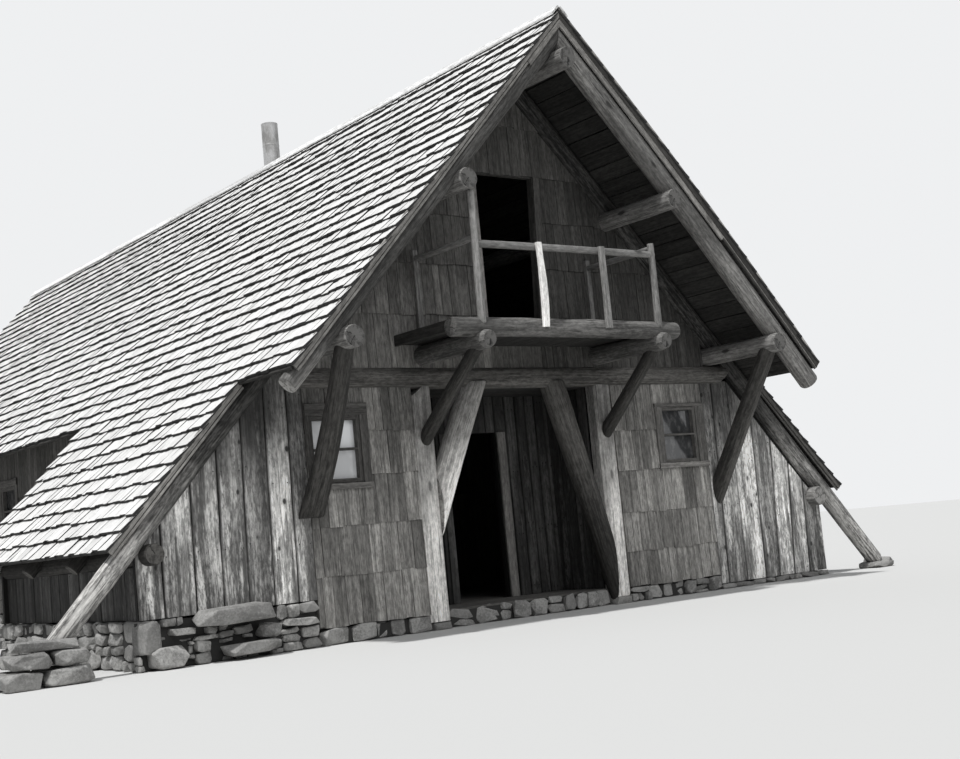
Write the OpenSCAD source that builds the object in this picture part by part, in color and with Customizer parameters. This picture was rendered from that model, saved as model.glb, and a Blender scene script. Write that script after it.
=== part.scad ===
// Log-framed A-frame cabin with a projecting canopy, low wings, a balcony and a recessed entry.
// The ground is z = 0, the ridge runs along Y over x = 0, and the entry faces -Y.
// The origin is the middle of the building; distances along Y are measured from the canopy edge.

/* [Roof] */
// Height of the ridge line above the ground
ridge_z = 6930; // [6700:10:7200]
// Pitch of both slopes
pitch = 46.7; // [45.5:0.1:48]
// Thickness of shakes and sheathing together
roof_t = 70; // [60:2:70]
// Thickness of the shake layer alone
shake_t = 26; // [26:1:36]
// Thickness of a shake at its lower end
shake_butt = 24; // [16:1:25]
// Courses of shakes on a main slope
main_courses = 26; // [22:1:30]
// Courses of shakes on a wing slope
wing_courses = 10; // [8:1:12]
// Distance from the ridge line to the upper eave, level
upper_eave_x = 3910; // [3800:10:4000]
// Distance from the ridge line to the wing eave, level
wing_eave_x = 5410; // [5350:10:5500]

/* [Plan] */
// Length of the roof from canopy edge to canopy edge
building_l = 17000; // [16500:100:18000]
// Distance of a wing's rake from the canopy edge
wing_y = 1095; // [1050:5:1150]
// Length of a wing along the ridge
wing_l = 4205; // [4000:5:4400]
// Distance of the end wall's outer face from the canopy edge
wall_y = 1250; // [1230:5:1270]
// Outer face of the wing side walls, from the centre
side_x = 4990; // [4950:10:5010]
// Thickness of every timber wall
wall_t = 100; // [80:5:110]

/* [Logs] */
// Radius of the rafter logs
rafter_r = 130; // [120:5:135]
// Depth of the rafter axis below the shakes, square to the slope
rafter_d = 200; // [195:5:210]
// Radius of the purlin logs
purlin_r = 120; // [110:2:120]
// Radius of the tie logs
tie_r = 125; // [115:5:130]
// Half of a tie log's length before its ends are coped
tie_half = 3620; // [3560:10:3640]
// Height of the tie log axis
tie_z = 2810; // [2790:5:2820]
// Level distance of the upper purlins from the centre
upper_purlin_x = 1555; // [1500:5:1600]
// Level distance of the lower purlins from the centre
lower_purlin_x = 3160; // [3140:5:3180]

/* [Entry] */
// Middle of the entry and of the balcony, from the ridge line
entry_x = -170; // [-200:10:-140]
// Half of the distance between the entry posts
entry_half = 1375; // [1340:5:1400]
// Depth of the back wall of the entry recess
entry_back_y = 2210; // [2100:10:2400]
// Width of the ground floor doorway
doorway_w = 780; // [740:10:900]
// Height of the ground floor doorway above the floor
doorway_h = 2040; // [1950:10:2060]

/* [Balcony] */
// Half of the distance between the balcony's corner posts
balcony_half = 1310; // [1280:5:1330]
// Height of the deck surface
deck_z = 3205; // [3200:5:3225]
// Height of the rail above the deck
rail_h = 915; // [850:5:1000]

/* [Walls] */
// Edge of the plank wing wall on the left, from the centre
plank_left_x = 3080; // [3060:5:3100]
// Edge of the plank wing wall on the right, from the centre
plank_right_x = 2940; // [2930:5:2960]
// Height of the rubble footing on the left, where the ground stands higher
footing_left = 480; // [400:10:520]
// Height of the footing on the right
footing_right = 70; // [50:5:120]
// Height of the footing under the middle of each end
footing_mid = 180; // [120:10:200]

/* [Hidden] */
$fn = 48;

run = cos(pitch);
rise = sin(pitch);
ridge_tan = tan(pitch);
upper_eave_s = upper_eave_x / run;
wing_eave_s = wing_eave_x / run;
board_t = 35;
rake_inset = 15;
rake_back = rake_inset + board_t;
rake_low = 125;
rake_groove = 92;
canopy_log_y = rake_back + 5 + rafter_r;
frame_y = 1275;
wing_end_y = wing_y + wing_l;
frame_back_y = wing_end_y - (frame_y - wing_y);
back_wall_y = wing_end_y - (wall_y - wing_y) - wall_t;
wall_mid_y = wall_y + wall_t / 2;
seat_d = rafter_d + rafter_r - 22;
lower_purlin_z = tie_z + tie_r + purlin_r - 10;
upper_purlin_z = 4775;
ridge_log_z = 6310;
ridge_log_r = 122;
purlin_tip = 0;
ridge_log_tip = -60;
plate_x = 4940;
plate_r = 126;
plate_z = 1085;
plate_seat = plate_z - plate_r + 18;
tail_r = 100;
tail_d = 240;
tail_s = 7350;
tail_l = 480;
tail_y = [2560, 3830];
planks_x = 5040;
eave_wall_x = lower_purlin_x + wall_t / 2;
foot_stone_h = 90;
foot_stone_r = 290;
foot_pier_h = 420;
foot_pier_in = 5580;
pier_lean_in = 60;
pier_lean_out = 130;
footing_spread = 60;
floor_t = 40;
floor_z = 200;
joist_r = 117;
joist_z = deck_z - floor_t - joist_r;
ceiling_z = 2690;
door_left = -490;
door_right_low = 290;
door_right_top = 400;
door_top = 5260;
window_w = 640;
window_low = 1680;
window_top = 2395;
window_left_x = -2715;
window_right_x = 2470;
eave_window_y = [7000, 10000];
rear_window_low = 3900;
rear_window_top = 4900;
casing_w = 110;
casing_t = 24;
post_w = 270;
strut_y = wall_y + 50;
strut_r = 155;
strut_taper = 15;
post_cut_w = 190;
post_cut_low = 210;
post_cut_high = 65;
knee_r = 115;
brace_r = 75;
flue_y = 7080;
flue_x = 175;
flue_r = 130;
flue_sheet = 5;
flue_top = 7650;
flue_base = slope_z(flue_x + flue_r, roof_t) - 20;
post_back_y = wall_y + 200;
eave_wall_y = back_wall_y;
big = 20000;

// Point of the right slope: s along the slope from the ridge, d square to it and inwards
function slope_point(s, d) = [s * run - d * rise, ridge_z - s * rise - d * run];
// Height of the line that lies d below the slope, at level distance x
function slope_z(x, d) = ridge_z - x * ridge_tan - d / run;
// Level distance at which the line that lies d below the slope has height z
function slope_x(z, d) = (ridge_z - z - d / run) / ridge_tan;

// Prism along Y of an outline drawn in X and Z
module along_y(y0, y1) {
    translate([0, y1, 0]) rotate([90, 0, 0]) linear_extrude(y1 - y0) children();
}
module left_side() {
    mirror([1, 0, 0]) children();
}
module both_sides() {
    children();
    mirror([1, 0, 0]) children();
}
// Placing of what is drawn with y measured from the front or the rear canopy edge
module front_end() {
    translate([0, -building_l / 2, 0]) children();
}
module rear_end() {
    mirror([0, 1, 0]) front_end() children();
}
module both_ends() {
    front_end() children();
    rear_end() children();
}

// Board or layer lying in the right slope between two depths, cut square at both ends
module slope_layer(s0, s1, d0, d1, y0, y1) {
    along_y(y0, y1)
        polygon([slope_point(s0, d0), slope_point(s1, d0), slope_point(s1, d1), slope_point(s0, d1)]);
}
// Outline points of tapered courses of shakes between two places of the slope
function course_edges(s0, s1, count) = [for (i = [1 : count], d = i < count ? [0, shake_butt] : [0])
    slope_point(s0 + i * (s1 - s0) / count, d)];
// The same from the ridge down, with a plumb cut at the ridge
module ridge_layer(s1, d0, d1, y0, y1) {
    along_y(y0, y1)
        polygon([slope_point(d0 * ridge_tan, d0), slope_point(s1, d0), slope_point(s1, d1),
            slope_point(d1 * ridge_tan, d1)]);
}

// Log between two points, with its ends dressed to a small chamfer
module log_between(a, b, r) {
    v = b - a;
    l = norm(v);
    c = min(22, r * 0.2);
    translate(a) rotate([0, acos(v[2] / l), atan2(v[1], v[0])]) {
        cylinder(h = c, r1 = r - c, r2 = r);
        translate([0, 0, c]) cylinder(h = l - 2 * c, r = r);
        translate([0, 0, l - c]) cylinder(h = c, r1 = r, r2 = r - c);
    }
}
// Log between two points with plain sawn ends, from one radius to another
module taper_log(a, b, r0, r1) {
    v = b - a;
    l = norm(v);
    translate(a) rotate([0, acos(v[2] / l), atan2(v[1], v[0])]) cylinder(h = l, r1 = r0, r2 = r1);
}

// Roof
module main_roof_right() {
    color("lightgray") front_end() difference() {
        main_roof();
        flue_core(flue_r);
    }
}
module main_roof() {
    along_y(0, building_l)
        polygon(concat([slope_point(0, 0)], course_edges(0, upper_eave_s, main_courses),
            [slope_point(upper_eave_s, shake_t), slope_point(shake_t * ridge_tan, shake_t)]));
    ridge_layer(upper_eave_s - 12, shake_t - 1, roof_t, rake_back, building_l - rake_back);
}
module main_roof_left() {
    color("lightgray") front_end() left_side() main_roof();
}
module wing_roof() {
    along_y(wing_y, wing_end_y)
        polygon(concat([slope_point(upper_eave_s, shake_butt)],
            course_edges(upper_eave_s, wing_eave_s, wing_courses),
            [slope_point(wing_eave_s, shake_t), slope_point(upper_eave_s, shake_t)]));
    slope_layer(upper_eave_s, wing_eave_s - 12, shake_t - 1, roof_t, wing_y + rake_back,
        wing_end_y - rake_back);
    slope_layer(upper_eave_s - 12, upper_eave_s + 1, shake_t, roof_t, wing_y + rake_back,
        wing_end_y - rake_back);
}
module wing_roofs_right() {
    color("gainsboro") both_ends() wing_roof();
}
module wing_roofs_left() {
    left_side() wing_roofs_right();
}
module ridge_cap() {
    cap_w = 150;
    cap_t = 24;
    cap_gap = 2;
    color("whitesmoke") front_end() difference() {
        along_y(0, building_l)
            polygon([slope_point(cap_w, 0), slope_point(0, 0), mirror_x(slope_point(cap_w, 0)),
                mirror_x(slope_point(cap_w, -cap_t)), [0, ridge_z + cap_t / run],
                slope_point(cap_w, -cap_t)]);
        translate([-cap_gap / 2, -1, ridge_z - cap_w]) cube([cap_gap, building_l + 2, 2 * cap_w]);
        flue_core(flue_r);
    }
}
function mirror_x(p) = [-p[0], p[1]];

// Rake boards: a face board and a thinner strip under it
module canopy_rake() {
    ridge_layer(upper_eave_s - 6, shake_t, rake_groove, rake_inset, rake_back);
    ridge_layer(upper_eave_s - 6, rake_groove, rake_low, rake_inset + 9, rake_back);
}
module wing_rake(y0, y1, inset0, inset1) {
    slope_layer(upper_eave_s + 2, wing_eave_s - 6, shake_t, rake_groove, y0, y1);
    slope_layer(upper_eave_s + 2, wing_eave_s - 6, rake_groove, rake_low, y0 + inset0, y1 - inset1);
}
module rake_boards_right() {
    color("dimgray") both_ends() {
        canopy_rake();
        wing_rake(wing_y + rake_inset, wing_y + rake_back, 9, 0);
        wing_rake(wing_end_y - rake_back, wing_end_y - rake_inset, 0, 9);
    }
}
module rake_boards_left() {
    left_side() rake_boards_right();
}

// Purlins and the ridge log, which the rafters are notched over
module lower_purlin_log() {
    log_between([lower_purlin_x, purlin_tip, lower_purlin_z],
        [lower_purlin_x, building_l - purlin_tip, lower_purlin_z], purlin_r);
}
module upper_purlin_log() {
    log_between([upper_purlin_x, purlin_tip, upper_purlin_z],
        [upper_purlin_x, building_l - purlin_tip, upper_purlin_z], purlin_r);
}
module lower_purlins() {
    color("tan") front_end() both_sides() lower_purlin_log();
}
module upper_purlins() {
    color("tan") front_end() both_sides() upper_purlin_log();
}
module ridge_log() {
    color("tan") front_end() log_between([0, ridge_log_tip, ridge_log_z],
        [0, building_l - ridge_log_tip, ridge_log_z], ridge_log_r);
}
module wall_plate() {
    difference() {
        log_between([plate_x, wing_y + 35, plate_z], [plate_x, wing_end_y - 35, plate_z], plate_r);
        translate([plate_x - 200, wall_y, plate_seat - 300]) cube([400, back_wall_y + wall_t - wall_y, 300]);
    }
}
// Tails of the rafters between the frame logs, notched over the plate
module rafter_tail(y) {
    a = slope_point(tail_s, tail_d);
    b = slope_point(tail_s + tail_l, tail_d);
    taper_log([a[0], y, a[1]], [b[0], y, b[1]], tail_r, tail_r);
}
module wall_plates() {
    color("burlywood") both_sides() both_ends() {
        wall_plate();
        for (y = tail_y) rafter_tail(y);
    }
}

// Rafter log lying under the right slope, cut plumb at the ridge and notched over the purlins
module rafter_log(y, s1) {
    top = slope_point(0, rafter_d);
    low = slope_point(s1, rafter_d);
    difference() {
        taper_log([top[0] - 200 * run, y, top[1] + 200 * rise], [low[0], y, low[1]], rafter_r, rafter_r);
        translate([-big, -big / 2, 0]) cube([big, 2 * big, big]);
        lower_purlin_log();
        upper_purlin_log();
        ridge_log_core();
    }
}
module ridge_log_core() {
    translate([0, ridge_log_tip, ridge_log_z]) rotate([-90, 0, 0])
        cylinder(h = building_l - 2 * ridge_log_tip, r = ridge_log_r);
}
module canopy_rafters_right() {
    color("tan") both_ends() rafter_log(canopy_log_y, upper_eave_s + 140);
}
module canopy_rafters_left() {
    left_side() canopy_rafters_right();
}
// Full-length frame log, from the ridge down to its foot stone outside the wing
module frame_log(y, wall0, foot_z) {
    difference() {
        rafter_log(y, (ridge_z + 400) / rise);
        translate([0, -big / 2, foot_z - big]) cube([big, 2 * big, big]);
        wing_front_outline(wall0, wall0 + wall_t, 0, 0);
        gable_half(wall0, wall0 + wall_t);
        wall_plate_core();
    }
}
module wall_plate_core() {
    translate([plate_x, wing_y, plate_z]) rotate([-90, 0, 0]) cylinder(h = wing_l, r = plate_r);
}
module frame_log_set(foot_z) {
    color("tan") both_ends() {
        frame_log(frame_y, wall_y, foot_z);
        frame_log(frame_back_y, back_wall_y, foot_z);
    }
}
module frame_logs_right() {
    frame_log_set(foot_stone_h);
}
module frame_logs_left() {
    left_side() frame_log_set(foot_pier_h);
}

// Tie logs across the frames, with their ends coped to the rafters
module tie_log(y, log_y) {
    difference() {
        log_between([-tie_half, y, tie_z], [tie_half, y, tie_z], tie_r);
        both_sides() lower_purlin_log();
        both_sides() taper_log([slope_point(0, rafter_d)[0], log_y, slope_point(0, rafter_d)[1]],
            [slope_point(9000, rafter_d)[0], log_y, slope_point(9000, rafter_d)[1]],
            rafter_r, rafter_r);
        both_sides() slope_layer(4000, 7000, -200, rafter_d, y - 400, y + 400);
    }
}
// Round of the tie logs, to which walls and posts are scribed
module tie_core(y) {
    translate([-tie_half, y, tie_z]) rotate([0, 90, 0]) cylinder(h = 2 * tie_half, r = tie_r);
}
module tie_logs() {
    color("burlywood") {
        both_ends() {
            tie_log(wall_mid_y, frame_y);
            tie_log(frame_back_y, frame_back_y);
        }
    }
}

// Braces from the wall up to the lower purlins
module knee_brace() {
    difference() {
        taper_log([lower_purlin_x - 70, wall_y + 120, 1130], [lower_purlin_x, 190, lower_purlin_z],
            knee_r, knee_r - 10);
        translate([0, wall_y, 0]) cube([big, wall_t + 400, big]);
        lower_purlin_log();
    }
}
module knee_braces() {
    color("peru") both_sides() both_ends() knee_brace();
}

// Half outline of a wing wall of planks, from its inner edge to the corner
module wing_front_outline(y0, y1, inner, low) {
    along_y(y0, y1) intersection() {
        polygon([[inner, low], [planks_x, low], [planks_x, slope_z(planks_x, seat_d)],
            [inner, slope_z(inner, seat_d)]]);
        square([planks_x, tie_z - 92]);
    }
}
module wing_wall(y0, y1, inner, low) {
    difference() {
        wing_front_outline(y0, y1, inner, low);
        wall_plate_core();
        tie_core(wall_mid_y);
        tie_core(frame_back_y);
    }
}
module wing_front_walls() {
    color("darkgray") both_ends() {
        wing_wall(wall_y, wall_y + wall_t, plank_right_x, footing_right);
        left_side() wing_wall(wall_y, wall_y + wall_t, plank_left_x, footing_left);
    }
}
module wing_back_walls() {
    color("gray") both_ends() {
        wing_wall(back_wall_y, back_wall_y + wall_t, eave_wall_x, footing_right);
        left_side() wing_wall(back_wall_y, back_wall_y + wall_t, eave_wall_x, footing_left);
    }
}
module side_wall(low) {
    translate([side_x - wall_t, wall_y + wall_t, low])
        cube([wall_t, back_wall_y - wall_y - wall_t, plate_seat - low]);
}
module wing_side_walls() {
    color("dimgray") both_ends() {
        side_wall(footing_right);
        left_side() side_wall(footing_left);
    }
}

// Walls under the upper eaves, between the wings, with two windows each
module eave_wall(low) {
    top = lower_purlin_z - purlin_r + 14;
    difference() {
        translate([eave_wall_x - wall_t, eave_wall_y, low])
            cube([wall_t, building_l - 2 * eave_wall_y, top - low]);
        lower_purlin_log();
        tie_core(frame_back_y);
        tie_core(building_l - frame_back_y);
        for (y = eave_window_y)
            translate([0, y - window_w / 2, window_low]) cube([big, window_w, window_top - window_low]);
    }
}
module eave_walls() {
    color("rosybrown") front_end() {
        eave_wall(footing_right);
        left_side() eave_wall(footing_left);
    }
}

// Shingled walls of the ground storey
module ground_wall(x0, x1) {
    difference() {
        translate([x0, wall_y, footing_mid]) cube([x1 - x0, wall_t, tie_z - 92 - footing_mid]);
        tie_core(wall_mid_y);
    }
}
module window_hole(x) {
    translate([x - window_w / 2, -big / 2, window_low]) cube([window_w, 2 * big, window_top - window_low]);
}
module front_wall_left() {
    color("rosybrown") front_end() difference() {
        ground_wall(-plank_left_x, entry_x - entry_half - post_w / 2);
        window_hole(window_left_x);
    }
}
module front_wall_right() {
    color("rosybrown") front_end() difference() {
        ground_wall(entry_x + entry_half + post_w / 2, plank_right_x);
        window_hole(window_right_x);
    }
}
module rear_wall() {
    color("rosybrown") rear_end() difference() {
        ground_wall(-plank_left_x, plank_right_x);
        window_hole(window_left_x);
        window_hole(window_right_x);
    }
}

// Shingled walls of the upper storey, under the rafters and over the tie log
module gable_wall() {
    difference() {
        both_sides() gable_half(wall_y, wall_y + wall_t);
        translate([-big / 2, 0, ridge_log_z]) cube([big, big, big]);
        tie_core(wall_mid_y);
        both_sides() lower_purlin_log();
        both_sides() upper_purlin_log();
        ridge_log_core();
    }
}
module gable_half(y0, y1) {
    along_y(y0, y1) polygon([[0, tie_z + 93], [lower_purlin_x - purlin_r, tie_z + 93],
        [lower_purlin_x - purlin_r, lower_purlin_z + purlin_r],
        [slope_x(lower_purlin_z + purlin_r, seat_d), lower_purlin_z + purlin_r],
        [0, slope_z(0, seat_d)]]);
}
module gable_wall_right() {
    color("rosybrown") front_end() difference() {
        gable_wall();
        balcony_joist_pair();
        translate([-big, 0, door_top]) cube([2 * big, big, big]);
        along_y(0, big) polygon([[-big, 0], [door_right_low, 0], [door_right_low, deck_z],
            [door_right_top, door_top], [-big, door_top]]);
    }
}
module gable_wall_left() {
    color("rosybrown") front_end() difference() {
        gable_wall();
        balcony_joist_pair();
        translate([-big, 0, door_top]) cube([2 * big, big, big]);
        translate([door_left, 0, 0]) cube([big, big, big]);
    }
}
module gable_wall_middle() {
    color("rosybrown") front_end() {
        difference() {
            gable_wall();
            translate([-big / 2, 0, 0]) cube([big, big, door_top]);
        }
        difference() {
            translate([door_left, wall_y, tie_z]) cube([door_right_low - door_left, wall_t, deck_z - tie_z]);
            tie_core(wall_mid_y);
        }
    }
}
module rear_gable_wall() {
    color("rosybrown") rear_end() difference() {
        gable_wall();
        translate([-window_w / 2, 0, rear_window_low])
            cube([window_w, big, rear_window_top - rear_window_low]);
    }
}

// Recessed entry: two side walls, a back wall with a doorway, and a boarded ceiling
recess_left = entry_x - entry_half + post_w / 2;
recess_right = entry_x + entry_half - post_w / 2;
doorway_left = entry_x - doorway_w / 2;
module entry_side_walls() {
    color("sienna") front_end() for (x = [recess_left - wall_t, recess_right])
        translate([x, post_back_y, floor_z]) cube([wall_t, entry_back_y - post_back_y, ceiling_z - floor_z]);
}
module entry_back_walls() {
    color("sienna") front_end() {
        translate([recess_left - wall_t, entry_back_y, floor_z])
            cube([doorway_left - recess_left + wall_t, wall_t, ceiling_z - floor_z]);
        translate([doorway_left + doorway_w, entry_back_y, floor_z])
            cube([recess_right + wall_t - doorway_left - doorway_w, wall_t, ceiling_z - floor_z]);
    }
}
module entry_door_head() {
    color("sienna") front_end() translate([doorway_left, entry_back_y, floor_z + doorway_h])
        cube([doorway_w, wall_t, ceiling_z - floor_z - doorway_h]);
}
module entry_ceiling() {
    color("sienna") front_end() translate([recess_left - wall_t, post_back_y, ceiling_z])
        cube([recess_right - recess_left + 2 * wall_t, entry_back_y + wall_t - post_back_y, floor_t]);
}

// Floors
module wing_floors() {
    color("saddlebrown") both_ends() difference() {
        translate([-side_x + wall_t, wall_y + wall_t, floor_z - floor_t])
            cube([2 * (side_x - wall_t), back_wall_y - wall_y - wall_t, floor_t]);
        entry_post_solid(-1);
        entry_post_solid(1);
    }
}
module middle_floor() {
    color("saddlebrown") front_end() translate([-eave_wall_x + wall_t, back_wall_y, floor_z - floor_t])
        cube([2 * (eave_wall_x - wall_t), building_l - 2 * back_wall_y, floor_t]);
}
module upper_floor() {
    half = slope_x(deck_z, roof_t + 30);
    color("saddlebrown") front_end() difference() {
        translate([-half, wall_y + wall_t, deck_z - floor_t])
            cube([2 * half, building_l - 2 * (wall_y + wall_t), floor_t]);
        both_sides() {
            rafter_solid(frame_back_y);
            rafter_solid(building_l - frame_back_y);
            rafter_solid(frame_y);
            rafter_solid(building_l - frame_y);
        }
    }
}
module rafter_solid(y) {
    taper_log([slope_point(2000, rafter_d)[0], y, slope_point(2000, rafter_d)[1]],
        [slope_point(9000, rafter_d)[0], y, slope_point(9000, rafter_d)[1]], rafter_r, rafter_r);
}

// Balcony
beam_y = 150;
beam_r = 110;
beam_z = deck_z + 85 - beam_r;
beam_left = -1880;
beam_right = 1450;
joist_tip = -10;
post_r = 48;
rail_r = 42;
rail_z = deck_z + rail_h - rail_r;
rail_y = beam_y - beam_r + 46;
baluster_x = [-655, 285];
module balcony_joist_pair() {
    for (side = [-1, 1])
        log_between([entry_x + side * balcony_half, joist_tip, joist_z],
            [entry_x + side * balcony_half, 2100, joist_z], joist_r);
}
module balcony_joists() {
    color("peru") front_end() difference() {
        balcony_joist_pair();
        beam_log();
        tie_core(wall_mid_y);
    }
}
module beam_log() {
    log_between([beam_left, beam_y, beam_z], [beam_right, beam_y, beam_z], beam_r);
}
module balcony_beam() {
    color("burlywood") front_end() beam_log();
}
module balcony_deck() {
    color("peru") front_end() difference() {
        translate([beam_left + 60, beam_y, deck_z - floor_t])
            cube([beam_right - beam_left - 120, wall_y - beam_y, floor_t]);
        beam_log();
    }
}
module corner_post(side, top) {
    taper_log([entry_x + side * balcony_half, rail_y, beam_z + 30],
        [entry_x + side * balcony_half, rail_y - 10, top], post_r + 4, post_r - 4);
}
module corner_posts() {
    corner_post(-1, upper_purlin_z - purlin_r);
    corner_post(1, rail_z + 130);
}
module wall_posts() {
    for (side = [-1, 1])
        translate([entry_x + side * balcony_half - 35, wall_y - 50, deck_z]) cube([70, 50, rail_h + 130]);
}
module balcony_posts() {
    color("linen") front_end() {
        difference() {
            corner_posts();
            beam_log();
        }
        wall_posts();
    }
}
module front_rail() {
    log_between([entry_x - balcony_half, rail_y, rail_z], [entry_x + balcony_half, rail_y, rail_z], rail_r);
}
module side_rails() {
    z = rail_z + 2 * rail_r - 10;
    for (side = [-1, 1])
        log_between([entry_x + side * balcony_half, rail_y, z],
            [entry_x + side * balcony_half, wall_y - 50, z], rail_r - 4);
}
module balcony_rails() {
    color("linen") front_end() difference() {
        union() {
            front_rail();
            side_rails();
        }
        corner_posts();
    }
}
module balusters() {
    color("linen") front_end() difference() {
        for (x = baluster_x)
            translate([x - 45, beam_y - beam_r - 35, beam_z - 5])
                cube([90, 45, rail_z + 50 - beam_z]);
        beam_log();
        front_rail();
    }
}
module balcony_braces() {
    color("sienna") front_end() difference() {
        for (side = [-1, 1])
            taper_log([entry_x + side * (entry_half - 5), wall_y + 30, 2090],
                [entry_x + side * balcony_half, 180, joist_z], brace_r + 10, brace_r);
        balcony_joist_pair();
        translate([-big / 2, wall_y - 20, 0]) cube([big, 1000, big]);
    }
}

// Entry posts, inclined struts and the lintel between them
post_left = entry_x - entry_half - post_w / 2 - 1;
module entry_post_solid(side) {
    x = entry_x + side * entry_half;
    translate([x - post_w / 2, wall_y - 20, foot_stone_h])
        cube([post_w, post_back_y - wall_y + 20, tie_z - 92 - foot_stone_h]);
}
module entry_posts() {
    color("darkgray") front_end() difference() {
        union() {
            entry_post_solid(-1);
            entry_post_solid(1);
        }
        tie_core(wall_mid_y);
        // The left post's outer top corner is cut off
        along_y(0, big)
            polygon([[post_left, tie_z - post_cut_low], [post_left + post_cut_w, tie_z - post_cut_high],
                [post_left, tie_z]]);
    }
}
module strut(top_x, foot_x, foot_z) {
    taper_log([foot_x, strut_y, foot_z], [top_x, strut_y, tie_z + 40], strut_r - strut_taper, strut_r);
}
module entry_struts() {
    color("silver") front_end() difference() {
        union() {
            strut(-732, -1693, 870);
            strut(400, 1090, 500);
        }
        entry_post_solid(-1);
        entry_post_solid(1);
        lintel_log();
        tie_core(wall_mid_y);
        translate([-big / 2, 0, tie_z]) cube([big, big, big]);
        translate([-big, 0, 0]) cube([big + entry_x - entry_half, big, big]);
        translate([entry_x + entry_half, 0, 0]) cube([big, big, big]);
    }
}
module lintel_log() {
    log_between([-800, wall_y + 25, tie_z - tie_r + 45], [470, wall_y + 25, tie_z - tie_r + 45], 62);
}
module entry_lintel() {
    color("gray") front_end() difference() {
        lintel_log();
        tie_core(wall_mid_y);
    }
}

// Windows: casing boards outside, a sash with one bar in the hole, and glass
module window_at(hole_w, low, top) {
    h = top - low;
    difference() {
        union() {
            translate([-hole_w / 2 - casing_w, -casing_t, low - 60]) cube([hole_w + 2 * casing_w, casing_t, h + 150]);
            translate([-hole_w / 2, 0, low]) cube([hole_w, 60, h]);
        }
        translate([-hole_w / 2 + 45, -100, low + 45]) cube([hole_w - 90, 300, h / 2 - 60]);
        translate([-hole_w / 2 + 45, -100, low + h / 2 + 15]) cube([hole_w - 90, 300, h / 2 - 60]);
    }
}
module glass_at(hole_w, low, top) {
    h = top - low;
    translate([-hole_w / 2, 60, low]) cube([hole_w, 8, h]);
}
module at_windows() {
    both_ends() for (x = [window_left_x, window_right_x])
        translate([x, wall_y, 0]) children();
    front_end() for (y = eave_window_y) {
        translate([eave_wall_x, y, 0]) rotate([0, 0, 90]) children();
        translate([-eave_wall_x, y, 0]) rotate([0, 0, -90]) children();
    }
}
module window_frames() {
    color("dimgray") {
        at_windows() window_at(window_w, window_low, window_top);
        rear_end() translate([0, wall_y, 0]) window_at(window_w, rear_window_low, rear_window_top);
    }
}
module window_glass() {
    color("lightblue") {
        at_windows() glass_at(window_w, window_low, window_top);
        rear_end() translate([0, wall_y, 0]) glass_at(window_w, rear_window_low, rear_window_top);
    }
}

// Casings of the upper door and of the ground floor doorway
module door_casings() {
    color("dimgray") front_end() {
        along_y(wall_y - casing_t, wall_y) {
            translate([door_left - casing_w, deck_z]) square([casing_w, door_top - deck_z]);
            polygon([[door_right_low, deck_z], [door_right_low + casing_w - 20, deck_z],
                [door_right_top + casing_w, door_top], [door_right_top, door_top]]);
        }
        along_y(entry_back_y - casing_t, entry_back_y) {
            translate([doorway_left + doorway_w, floor_z]) square([casing_w + 20, doorway_h]);
            translate([doorway_left - casing_w, floor_z]) square([casing_w, doorway_h]);
        }
    }
}

// Rubble footings under the walls and flat stones under the log feet
module footing(x0, x1, y0, y1, h) {
    translate([x0, y0, 0]) cube([x1 - x0, y1 - y0, h]);
}
module cross_footings() {
    y0 = wall_y - footing_spread;
    y1 = wall_y + wall_t;
    out = planks_x + footing_spread;
    post_out = entry_half + post_w / 2;
    color("slategray") {
        both_ends() {
            footing(-side_x + wall_t, -eave_wall_x, back_wall_y, wing_end_y - 95, footing_left);
            footing(eave_wall_x, side_x - wall_t, back_wall_y, wing_end_y - 95, footing_right);
            footing(-out, -plank_left_x, y0, y1, footing_left);
            footing(plank_right_x, out, y0, y1, footing_right);
        }
        front_end() {
            footing(-plank_left_x - 1, entry_x - post_out, y0, y1, footing_mid);
            footing(entry_x + post_out, plank_right_x + 1, y0, y1, footing_mid);
            footing(recess_left, recess_right, wall_y, y1, floor_z);
        }
        rear_end() footing(-plank_left_x - 1, plank_right_x + 1, y0, y1, footing_mid);
    }
}
module long_footings() {
    y1 = wall_y + wall_t;
    out = planks_x + footing_spread;
    middle_y1 = building_l - eave_wall_y;
    color("slategray") {
        both_ends() {
            footing(-out, -side_x + wall_t, y1, wing_end_y - 95, footing_left);
            footing(side_x - wall_t, out, y1, wing_end_y - 95, footing_right);
        }
        front_end() {
            footing(-eave_wall_x, -eave_wall_x + wall_t, eave_wall_y, middle_y1, footing_left);
            footing(eave_wall_x - wall_t, eave_wall_x, eave_wall_y, middle_y1, footing_right);
        }
    }
}
module foot_stone(y) {
    translate([foot_x, y, 0]) cylinder(h = foot_stone_h, r1 = foot_stone_r, r2 = foot_stone_r - 50);
}
foot_x = slope_x(foot_stone_h, rafter_d);
// Rubble pier with battered sides, as high as the ground stands on the left
module foot_pier(y) {
    out = foot_x + foot_stone_r;
    along_y(y - foot_stone_r, y + foot_stone_r)
        polygon([[foot_pier_in, 0], [out, 0], [out - pier_lean_out, foot_pier_h],
            [foot_pier_in + pier_lean_in, foot_pier_h]]);
}
module foot_stones() {
    color("slategray") {
        both_ends() for (y = [frame_y, frame_back_y]) {
            foot_stone(y);
            left_side() foot_pier(y);
        }
        front_end() for (side = [-1, 1])
            translate([entry_x + side * entry_half - post_w / 2, wall_y - footing_spread, 0])
                cube([post_w, post_back_y - wall_y + footing_spread, foot_stone_h]);
    }
}

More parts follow.
